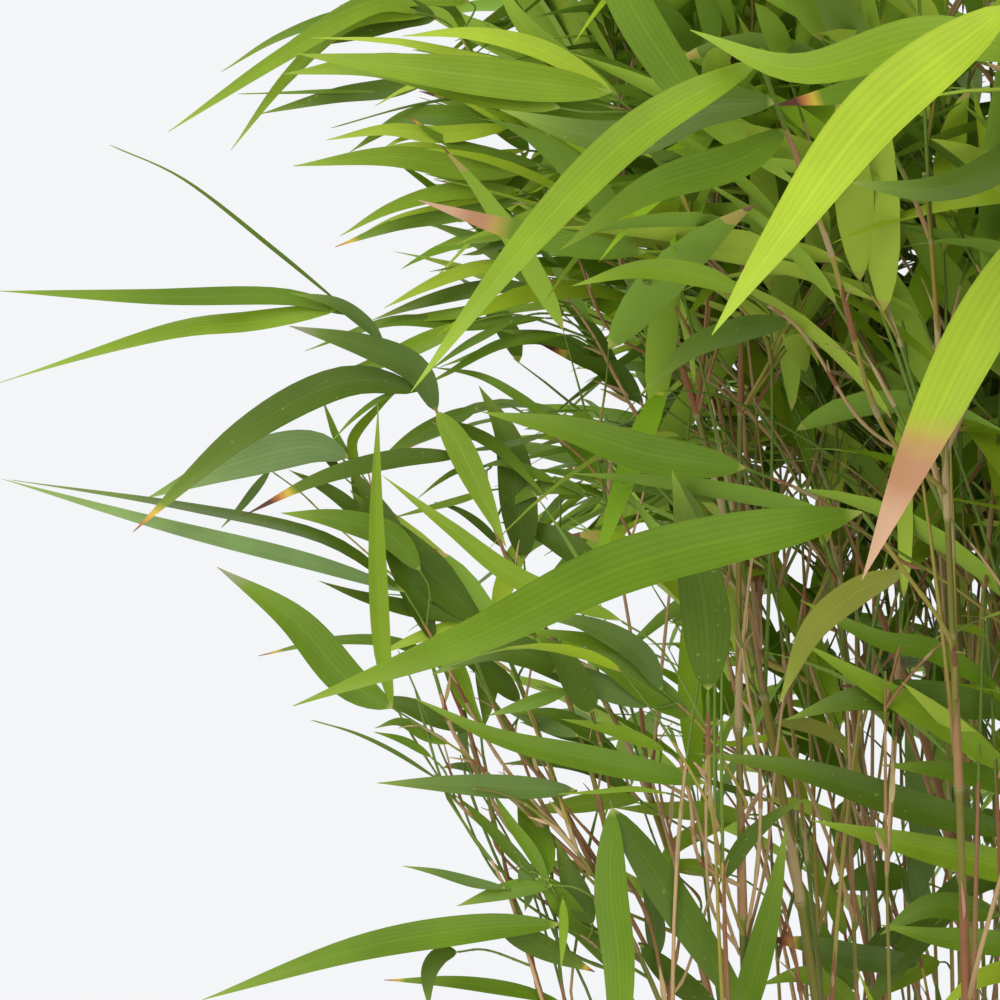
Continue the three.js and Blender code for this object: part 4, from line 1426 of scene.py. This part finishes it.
class GrowCanes(bpy.types.Operator):
    """Grow the canes with their joints, and the papery sheaths round them"""

    bl_idname = "bamboo.grow_canes"
    bl_label = "Canes"

    def execute(self, context):
        radius = context.scene.bamboo.cane_radius * METRE
        canes = add_canes(radius)
        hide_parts(*CANE_NODES)
        add_sheaths(radius)
        return {"FINISHED"}


# Rings between two joints: their places and how thick the cane is there.
CANE_STEPS = (
    (0.0, 1.3), (0.02, 1.16), (0.05, 0.97), (0.3, 1.0), (0.6, 1.0), (0.9, 1.0), (0.97, 1.05),
    (0.99, 1.22),
)
CANE_SIDES = 8


def add_canes(radius):
    """Canes: tubes whose rings crowd round each joint, where the radius swells to a ridge."""
    steps, swell = np.array(CANE_STEPS).T
    low, high = JOINT_SHARES[:, :-1, None], JOINT_SHARES[:, 1:, None]
    share = (low + (high - low) * steps).reshape(len(CANES), -1)
    share = np.concatenate([share, np.ones((len(CANES), 1))], axis=1)
    cane = np.broadcast_to(np.arange(len(CANES))[:, None], share.shape)
    points, _ = on_cane(cane, share)
    swell = np.concatenate([np.tile(swell, JOINTS), [0.5]])
    swell[0] = 1.0
    thick = cane_radius(cane, share, radius) * swell
    rings = tubes(points, thick, np.cross(UP, outwards(CANES[:, 3])), CANE_SIDES)
    rows = share.shape[1]
    shape = (len(CANES), rows, CANE_SIDES)
    quads, caps = grid_faces(*shape), cap_faces(*shape)
    place = (np.arange(JOINTS)[:, None] + steps).ravel()
    along = np.append(place, JOINTS)[(quads // CANE_SIDES) % rows]
    uvs = tube_uvs(quads, caps, CANE_SIDES, along + 17 * (quads // (CANE_SIDES * rows)))
    return add_piece("canes", rings, [quads, caps], [cane_finish()], uvs=uvs)


def tube_uvs(quads, caps, sides, along):
    """UV places of tubes' quads: round the tube and a given place along it; caps have none."""
    around = np.array([0.0, 1.0, 1.0, 0.0]) + quads[:, :1] % sides
    round_tubes = np.stack([around, along], axis=-1).reshape(-1, 2)
    return np.concatenate([round_tubes, np.zeros((caps.size, 2))])


def cane_finish():
    """Cane skin: olive to yellow-brown from cane to cane and length to length, browned in
    clouds, with a pale bloom round each joint and a dark line at it."""
    shader = Shader("cane skin", (0.2, 0.2, 0.06), 0.42, specular=0.3)
    _, along = shader.along()
    part = along.fraction()
    tone = (((along - part) * 12.9898).sine() * 43758.5453).fraction()
    cloud = shader.noise(35.0, 3.0)
    skin = shader.blend(tone, (0.1, 0.14, 0.015), (0.27, 0.19, 0.025))
    skin = shader.blend(((cloud - 0.42) * 1.1).clipped(), skin, (0.22, 0.12, 0.04))
    joint = (part - 0.5) * (part - 0.5) * 4.0
    skin = shader.blend(joint**18.0, skin, (0.36, 0.33, 0.14))
    shader.feed("Base Color", shader.blend(joint**120.0, skin, (0.09, 0.05, 0.03)))
    return shader.material


def add_sheaths(radius):
    """Sheaths round the canes: each starts at a joint, more of them higher up."""
    cane, joint = every_pair(np.arange(len(CANES)), np.arange(1, JOINTS - 1))
    wanted = chance(cane, joint, 61) < between(0.35, 0.85, joint / JOINTS)
    cane, joint = cane[wanted], joint[wanted]
    return add_sleeves(
        "sheaths", cane, JOINT_SHARES[cane, joint], JOINT_SHARES[cane, joint + 1],
        on_cane, lambda who, share: cane_radius(who, share, radius), cane * 40 + joint,
        CANE_SLEEVE_SIDES,
    )


# A sleeve's rings: their places up it and how far they stand off the stem.
SLEEVE_PLACES = np.array([0.0, 0.0, 0.08, 0.35, 0.7, 1.0, 1.0])
SLEEVE_PROUD = np.array([-0.1, 0.16, 0.19, 0.16, 0.12, 0.14, -0.1])
SLEEVE_TIP_ROW = 4


def add_sleeves(name, who, low, high, course, radius_at, key, sides):
    """Sleeves that wrap stems from a lower to a higher share of their length, cut off at a
    slant: the height of each ring's corner is the sleeve's length times its place times (0.72
    plus 0.28 times the cosine of its angle). course and radius_at give the stems' points,
    directions and radii. Each sleeve may end in a small pointed tip that stands off."""
    count, rows = len(who), len(SLEEVE_PLACES)
    reach = vary(0.35, 0.85, key, 1, 62)
    turn = circle(sides)
    start = np.floor(sides * chance(key, 2, 63))
    slant = 0.72 + 0.28 * np.cos(turn[None] - (start * 2 * np.pi / sides)[:, None])
    share = ((high - low) * reach)[:, None, None] * SLEEVE_PLACES[None, :, None] * slant[:, None]
    share = low[:, None, None] + share
    stem = np.broadcast_to(who[:, None, None], share.shape)
    points, along = course(stem, share)
    side = square_to(np.array([0.25, 1.0, 0.05]) + 0 * along, along)
    over = np.cross(along, side)
    thick = radius_at(stem, share)
    ring = turned(side, over, turn)
    proud = SLEEVE_PROUD[None, :, None] * (thick + 0.5)
    corners = points + ring * (thick + proud)[..., None]
    tone = np.floor(len(SHEATH_COLORS) * chance(key, 3, 64)).astype(int)
    quads, caps = grid_faces(count, rows, sides), cap_faces(count, rows, sides)
    slots = [np.repeat(tone, (rows - 1) * sides), np.repeat(tone, 2)]
    up_tube = SLEEVE_PLACES[(quads // sides) % rows] + quads // (sides * rows)
    uvs = tube_uvs(quads, caps, sides, up_tube)
    finishes = [sheath_finish(number, color) for number, color in enumerate(SHEATH_COLORS, 1)]
    add_piece(name, corners, [quads, caps], finishes, slots, uvs, sharp=60)
    tipped = np.flatnonzero(chance(key, 4, 65) < TIPPED_SHARE)
    spot = (tipped, SLEEVE_TIP_ROW, start[tipped].astype(int))
    root, out, key = corners[spot], ring[spot], key[tipped]
    heading = unit(along[spot] + out * vary(0.15, 0.75, key, 5, 65)[:, None])
    length = between(6.0, 19.0, chance(key, 6, 65) ** 1.5)
    bend = out * vary(-0.1, 0.25, key, 7, 65)[:, None] - UP * 0.08
    roll = vary(-1.2, 1.2, key, 8, 65)
    tips = Leaves(root, heading, bend, length, length * 0.1 + 0.5, roll, 0 * roll, key)
    finishes = plain_finishes(f"{name} tip", TIP_COLORS, 0.8)
    add_leaves(f"{name}_tips", tips, finishes)


SHEATH_COLORS = ((0.4, 0.23, 0.1), (0.48, 0.36, 0.17), (0.3, 0.13, 0.055))
TIPPED_SHARE = 0.62
# A sheath tip's colours: above, below, its foot, its end and its very point.
TIP_COLORS = (
    (0.5, 0.36, 0.18), (0.42, 0.27, 0.14), (0.34, 0.2, 0.1), (0.55, 0.42, 0.24),
    (0.25, 0.14, 0.08),
)


def sheath_finish(number, color):
    """Papery sheath: fine ribs along it and blotches of a darker tone."""
    shader = Shader(f"sheath paper {number}", color, 0.7, specular=0.2)
    across, _ = shader.along()
    ribs = (across * 18.0).sine() * 0.5 + 0.5
    blotch = shader.noise(120.0, 3.0)
    darker = tuple(0.5 * np.array(color))
    shader.feed("Base Color", shader.blend(ribs * 0.35 + blotch * 0.45, color, darker))
    return shader.material


# Bark tones of twigs and stems; the last is the green of young wood.
TWIG_COLORS = ((0.46, 0.3, 0.14), (0.3, 0.15, 0.065), (0.32, 0.26, 0.05), (0.13, 0.2, 0.025))
GREEN = 3
# How thick a twig's or stem's last ring is, as a share of what it would be.
END_SHARE = 0.4
TWIG_SIDES = 5
CANE_SLEEVE_SIDES = 10
SHOOT_SLEEVE_SIDES = 8
TWIG_SLEEVE_SIDES = 6
# The joints of first twigs that have sheaths, as shares of a twig's length.
SHEATHED_JOINTS = (0.0, 0.375)


class GrowTwigs(bpy.types.Operator):
    """Grow the twigs, bundled at the canes' joints, and their side twigs"""

    bl_idname = "bamboo.grow_twigs"
    bl_label = "Twigs"

    def execute(self, context):
        first, second, _ = grow_crown(context.scene.bamboo)
        add_twigs("first_twigs", first, 9)
        add_twigs("side_twigs", second, 7)
        who, joint = every_pair(np.arange(len(first.length)), SHEATHED_JOINTS)
        wanted = (chance(first.key[who], joint * 8, 66) < 0.55) & (first.reach[who] > joint + 0.3)
        who, joint = who[wanted], joint[wanted] * first.reach[who[wanted]]
        add_sleeves(
            "twig_sheaths", who, joint + 0.01, joint + 0.34 * first.reach[who], first.at,
            lambda twig, share: first.radius[twig] * between(1.0, 0.5, share),
            first.key[who] * 2 + joint, TWIG_SLEEVE_SIDES,
        )
        return {"FINISHED"}


def add_twigs(name, twigs, rows):
    """Twigs as tapering tubes of rows rings, brown at the root, green with leaf sheaths towards
    the end."""
    count = len(twigs.length)
    stations = np.linspace(0, 1, rows)
    who = np.broadcast_to(np.arange(count)[:, None], (count, rows))
    points, _ = twigs.at(who, stations[None] * np.minimum(twigs.reach + 0.02, 1.0)[:, None])
    swell = np.where(np.arange(rows) % 3 == 0, 1.18, 1.0)
    radii = twigs.radius[:, None] * between(1.0, 0.5, stations)[None] * swell
    radii[:, -1] *= END_SHARE
    tone = np.searchsorted([0.3, 0.48, 0.76], chance(np.floor(twigs.key / 20), 3, 72))
    return add_stems(name, points, radii, tone, TWIG_SIDES, 3)


def add_stems(name, points, radii, tone, sides, green_rows):
    """Stems as tubes along paths, each of one bark tone with its last rows green."""
    count, rows = radii.shape
    overall = unit(points[:, -1] - points[:, 0])
    hint = square_to(np.eye(3)[np.argmin(np.abs(overall), axis=1)], overall)
    rings = tubes(points, radii, hint, sides)
    quads, caps = grid_faces(count, rows, sides), cap_faces(count, rows, sides)
    row = np.tile(np.repeat(np.arange(rows - 1), sides), count)
    slots = [
        np.where(row >= rows - 1 - green_rows, GREEN, np.repeat(tone, (rows - 1) * sides)),
        np.stack([tone, np.full(count, GREEN)], axis=-1).ravel(),
    ]
    finishes = plain_finishes("twig bark", TWIG_COLORS, 0.55)
    return add_piece(name, rings, [quads, caps], finishes, slots)


class GrowLeaves(bpy.types.Operator):
    """Grow the fans of leaves at the twigs' ends"""

    bl_idname = "bamboo.grow_leaves"
    bl_label = "Leaves"

    def execute(self, context):
        settings = context.scene.bamboo
        _, _, leaves = grow_crown(settings)
        # Each spray takes a tone by chance; near the pot's axis the tones shift lighter and far out
        # a little darker: painted light that lifts the shade inside the crown.
        tone = 0.8 * chance(np.floor(leaves.key / 40), 7, 75) + 0.2 * chance(leaves.key, 9, 75)
        inner = np.clip((300 - np.hypot(leaves.root[:, 0], leaves.root[:, 1])) / 200, 0, 1)
        tone = np.clip(tone + between(-0.08, 0.3, inner), 0.0, 0.999)
        floor = 0.0
        for name, colors in LEAF_TONES_LIT_AND_SHADED.items():
            if colors["share"] == 0:
                continue
            of_tone = (tone >= floor) & (tone < floor + colors["share"])
            floor += colors["share"]
            finishes = leaf_materials(settings.leaf_color, name)
            piece = add_leaves(f"leaves_{name}", leaves.keep(of_tone), finishes)
            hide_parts(*FOLIAGE_NODES)
        return {"FINISHED"}


# The share of leaves with a dried tip, and the places of materials after those of both sides.
DRY_SHARE = 0.13
STALK_SLOT, YELLOWED_SLOT, DRIED_SLOT = 2, 3, 4


def add_leaves(name, leaves, finishes):
    """Leaf shells of a few dozen faces, four corners round: left edge, midrib above, right edge
    and midrib below. Their finishes are those of leaf_materials."""
    count, rows = len(leaves.length), len(LEAF_STATIONS)
    ribs = leaves.midrib(LEAF_STATIONS)
    blade, face = blade_axes(ribs, leaves.roll[:, None] + leaves.twist[:, None] * LEAF_STATIONS)
    half = blade_halves(leaves.width, LEAF_STATIONS)
    corners = leaf_shells(ribs, blade, face, half, LEAF_ACROSS, 0.5, 0.22)
    triangles, caps, side, row = leaf_faces(count, rows, len(LEAF_ACROSS))
    dry = np.repeat(chance(leaves.key, 8, 76) < DRY_SHARE, len(row) // count)
    slots = np.where(row == 0, STALK_SLOT, side)
    slots = np.where(dry & (row == rows - 3), YELLOWED_SLOT, slots)
    slots = np.where(dry & (row == rows - 2), DRIED_SLOT, slots)
    slots = [slots, np.full(len(caps), STALK_SLOT)]
    return add_piece(name, corners, [triangles, caps], finishes, slots, sharp=70)


class GrowShoots(bpy.types.Operator):
    """Grow the shoots that the photograph shows one by one, with veined leaves"""

    bl_idname = "bamboo.grow_shoots"
    bl_label = "Shoots"

    def execute(self, context):
        settings = context.scene.bamboo
        paths, stalks, sprigs = shoot_courses(settings)
        courses = np.array(paths + stalks)
        thick = [stem[4:6] for stem, _ in SHOOTS] + [STALK_RADII] * len(stalks)
        thick = np.array(thick) * SHOOT_SLIMNESS
        tone = np.array([int(stem[1]) for stem, _ in SHOOTS] + [GREEN] * len(stalks))
        last = courses.shape[1] - 1
        swell = np.where(np.arange(last + 1) % SHOOT_JOINT == 3, 1.22, 1.0)
        radii = between(thick[:, :1], thick[:, 1:], np.linspace(0, 1, last + 1)) * swell
        radii[:, -1] *= END_SHARE
        add_stems("shoot_stems", courses, radii, tone, SHOOT_SIDES, 5)

        def on_stem(who, share):
            """Points and directions on the stems, straight from one place to the next."""
            place = np.clip(share, 0, 0.999) * last
            before = np.floor(place).astype(int)
            start, end = courses[who, before], courses[who, before + 1]
            return between(start, end, (place - before)[..., None]), unit(end - start)

        who, joint = every_pair(np.arange(len(SHOOTS)), np.arange(4))
        wanted = chance(who, joint, 67) < 0.62
        who, low = who[wanted], (10 + SHOOT_JOINT * joint[wanted]) / last
        add_sleeves(
            "shoot_sheaths", who, low, np.minimum(low + SHOOT_JOINT / last, 0.97), on_stem,
            lambda stem, share: between(thick[stem, 0], thick[stem, 1], share),
            who * 4 + low, SHOOT_SLEEVE_SIDES,
        )
        add_sprigs("shoot_leaves", sprigs, settings.leaf_color)
        return {"FINISHED"}


SHOOT_SIDES = 6
STEM_ROWS = 40
# So many rings lie between two joints of a shoot.
SHOOT_JOINT = 7
# A stalk's radii at its root and end, and how thick stems and stalks are for the radii given.
STALK_RADII = (0.62, 0.45)
SHOOT_SLIMNESS = 0.82
SOIL_REACH = 95.0
CANE_PLACES = 160
TWIG_PLACES = (0.2, 0.35, 0.5, 0.65, 0.8)
# A leaf grows straight from its shoot's stem where it starts within so many pixels of it.
TOUCHING = 14


def shoot_courses(settings):
    """The shoots' stems, their leaves' stalks, and their leaves with the places of each. Stems
    grow from canes, twigs and the stems before them; stalks from any of them."""
    first, second, _ = grow_crown(settings)
    twigs = first.joined(second)
    who = np.arange(len(twigs.length))
    on_twigs = [twigs.at(who, np.full(len(who), share))[0] for share in TWIG_PLACES]
    grid = np.broadcast_to(np.linspace(0.2, 0.98, CANE_PLACES), (len(CANES), CANE_PLACES))
    on_canes = on_cane(np.arange(len(CANES))[:, None], grid)[0].reshape(-1, 3)
    paths, stalks, sprigs = [], [], []
    for stem, _ in SHOOTS:
        others = [on_canes] if stem[0] == "cane" else [on_canes, *on_twigs, *paths]
        paths.append(stem_path(stem, np.concatenate(others)))
    nodes = np.concatenate([on_canes, *on_twigs, *(path[8:-5] for path in paths)])
    for (_, leaves), path in zip(SHOOTS, paths):
        for leaf in leaves:
            points, stalk = leaf_course(leaf, path, nodes)
            sprigs.append((leaf, points))
            stalks.extend(stalk)
    return paths, stalks, sprigs


def nearest_root(first, following, places):
    """The place to grow from: near, in line with the stem's first length and not above it."""
    gap = first - places
    distance = np.maximum(np.linalg.norm(gap, axis=1), 1e-6)
    straight = gap @ unit(following - first) / distance
    uphill = np.maximum(0.5 * np.hypot(gap[:, 0], gap[:, 1]) - gap[:, 2], 0)
    return places[np.argmin(distance * (2.2 - 1.2 * straight) + 2.0 * uphill)]


def stem_path(stem, places):
    """A shoot's stem: from the best of the places to grow from, through its points. One that
    stands on the soil goes on down to it in the line of its first length, but is drawn in
    towards the pot's axis."""
    ground, _, start, end, _, _, *course = stem
    columns, rows = in_pairs(course)
    points = from_picture(columns, rows, np.linspace(start, end, len(columns)))
    if ground == "soil":
        fall = points[0] - points[1]
        foot = points[0] + fall * (CANE_FOOT - points[0, 2]) / fall[2]
        foot[:2] = between(foot[:2], 0.35 * points[0, :2], 0.6)
        foot[:2] *= min(1.0, SOIL_REACH / np.hypot(foot[0], foot[1]))
        down = between(points[0], foot, np.array([[1.0], [0.45], [0.2], [0.07]]))
        return through(np.concatenate([down, points]), STEM_ROWS)
    root = nearest_root(points[0], points[1], places)
    return through(np.concatenate([[root], points]), STEM_ROWS)


def leaf_course(leaf, stem, nodes):
    """A given leaf's places from root to tip, and its stalk: a leaf that starts at its shoot's
    stem has none, and any other grows on a thin one from the best of the nodes."""
    shift, *places = leaf[5:]
    columns, rows = in_pairs(places)
    near = on_picture(stem)
    gap = np.hypot(near[0] - columns[0], near[1] - rows[0])
    closest = stem[np.argmin(gap)]
    points = from_picture(columns, rows, closest[1] + shift * np.linspace(0, 1, len(rows)) ** 1.3)
    if gap.min() < TOUCHING:
        points[0] = closest
        return points, []
    root = nearest_root(points[0], points[1], nodes)
    back = unit(points[1] - points[0]) * 0.4 * np.linalg.norm(points[0] - root)
    middle = between(between(root, points[0], 0.6), points[0] - back, 0.5)
    return points, [through([root, middle, points[0]], STEM_ROWS)]


SPRIG_ROWS = 22
SPRIG_ACROSS = np.array([-1.0, -0.5, 0.0, 0.5, 1.0])


def add_sprigs(name, sprigs, base):
    """Leaves given one by one, each on a smooth path through its points. Its blade faces the
    photograph's eye and turns from the first roll to the last."""
    stations = np.linspace(0, 1, SPRIG_ROWS)
    ribs, rolls, widths = [], [], []
    for (_, _, width, roll, end_roll, *_), points in sprigs:
        ribs.append(through(points, SPRIG_ROWS))
        rolls.append(np.radians(between(roll, end_roll, stations)))
        widths.append(width * PIXEL * (1 + points[1:, 1].mean() / VIEW_DISTANCE))
    ribs, rolls, widths = np.array(ribs), np.array(rolls), np.array(widths)
    along = unit(np.gradient(ribs, axis=1))
    flat = square_to(np.cross(along, ribs - EYE), along)
    blade = turned(flat, np.cross(along, flat), rolls)
    face = np.cross(along, blade)
    half = blade_halves(widths, stations)
    corners = leaf_shells(ribs, blade, face, half, SPRIG_ACROSS, 0.6, 0.24)
    triangles, caps, side, _ = leaf_faces(len(ribs), SPRIG_ROWS, len(SPRIG_ACROSS))
    round_trip = there_and_back(SPRIG_ACROSS)
    columns = len(round_trip)
    loops = np.concatenate([triangles.ravel(), caps.ravel()])
    leaf, row = loops // (columns * SPRIG_ROWS), (loops // columns) % SPRIG_ROWS
    uvs = np.stack(
        [round_trip[loops % columns] * 0.5 + 0.5, leaf + 0.001 + 0.998 * stations[row]], axis=-1
    )
    kinds = sorted({leaf[:2] for leaf, _ in sprigs})
    sides = ("upper side", "underside")
    finishes = [veined_finish(base, tone, which, dry) for tone, dry in kinds for which in sides]
    kind = np.array([kinds.index(leaf[:2]) for leaf, _ in sprigs])
    slots = [np.repeat(kind * 2, len(side) // len(kind)) + side, np.repeat(kind * 2, 2)]
    return add_piece(name, corners, [triangles, caps], finishes, slots, uvs, sharp=70)


# The studio's lengths are metres, but for the lens in millimetres.
FLOOR_RADIUS = 1.45
FLOOR_SIDES = 96
LENS = 50.0
SKY_COLOR = (0.905, 0.917, 0.935, 1.0)
# Each soft light: name, place, what it faces, size and power in watts.
SOFTBOXES = (
    ("key", (-1.6, -1.9, 2.4), (0, 0, 0.8), 1.4, 34.0),
    ("fill", (0.7, -2.5, 1.1), (0, 0, 0.75), 1.8, 25.0),
    ("top", (0.3, 0.6, 2.8), (0, 0, 0.8), 1.8, 22.0),
)


class SetStudio(bpy.types.Operator):
    """Set the floor, the soft lights and the photograph's camera"""

    bl_idname = "bamboo.set_studio"
    bl_label = "Studio"

    def execute(self, context):
        scene = context.scene
        scene.view_settings.view_transform = "Standard"
        world = bpy.data.worlds.new("pale room")
        world.use_nodes = True
        backdrop = world.node_tree.nodes["Background"]
        backdrop.inputs["Color"].default_value = SKY_COLOR
        backdrop.inputs["Strength"].default_value = 1.0
        scene.world = world
        add_floor()
        for box in SOFTBOXES:
            add_softbox(*box)
        camera = bpy.data.cameras.new("camera")
        camera.lens = LENS
        camera.sensor_width = PICTURE_SIZE * PIXEL * LENS / VIEW_DISTANCE
        holder = bpy.data.objects.new("camera", camera)
        holder.location = EYE * MILLIMETRE
        holder.rotation_euler = (math.radians(90), 0, 0)
        context.collection.objects.link(holder)
        scene.camera = holder
        return {"FINISHED"}


def add_floor():
    """A plain round floor, level with the pot's underside."""
    mesh = bpy.data.meshes.new("floor")
    turn = circle(FLOOR_SIDES)
    mesh.from_pydata(round_axis(FLOOR_RADIUS, turn, 0 * turn), [], [list(range(FLOOR_SIDES))])
    shader = Shader("floor paint", (0.62, 0.625, 0.635), 0.9, specular=0.1)
    grain = shader.noise(4.0, 2.0)
    shader.feed("Base Color", shader.blend(grain, (0.6, 0.605, 0.615), (0.63, 0.635, 0.645)))
    mesh.materials.append(shader.material)
    floor = bpy.data.objects.new("floor", mesh)
    bpy.context.collection.objects.link(floor)
    return floor


def add_softbox(name, place, target, size, power):
    """A square area light that faces a target."""
    light = bpy.data.lights.new(name, "AREA")
    light.size, light.energy = size, power
    holder = bpy.data.objects.new(name, light)
    holder.location = place
    x, y, z = np.subtract(target, place)
    holder.rotation_euler = (math.atan2(math.hypot(x, y), -z), 0, math.atan2(-x, y))
    bpy.context.collection.objects.link(holder)


class BambooPanel(bpy.types.Panel):
    """The bamboo's settings and the steps that grow it"""

    bl_idname = "VIEW3D_PT_bamboo"
    bl_label = "Potted Bamboo"
    bl_space_type = "VIEW_3D"
    bl_region_type = "UI"
    bl_category = "Bamboo"

    def draw(self, context):
        for label in BambooSettings.__annotations__:
            self.layout.prop(context.scene.bamboo, label)
        for step in STEPS:
            self.layout.operator(step.bl_idname)


STEPS = (GrowPot, GrowSoil, GrowCanes, GrowTwigs, GrowLeaves, GrowShoots, SetStudio)


def register():
    """Make the settings, the steps and the panel known to Blender."""
    for part in (BambooSettings, *STEPS, BambooPanel):
        bpy.utils.register_class(part)
    bpy.types.Scene.bamboo = bpy.props.PointerProperty(type=BambooSettings)


def unregister():
    """Take back what register did."""
    del bpy.types.Scene.bamboo
    for part in (BambooPanel, *reversed(STEPS), BambooSettings):
        bpy.utils.unregister_class(part)


def main():
    """Grow the plant step by step."""
    register()
    for step in STEPS:
        group, name = step.bl_idname.split(".")
        getattr(getattr(bpy.ops, group), name)()
    bpy.context.view_layer.update()


if __name__ == "__main__":
    main()
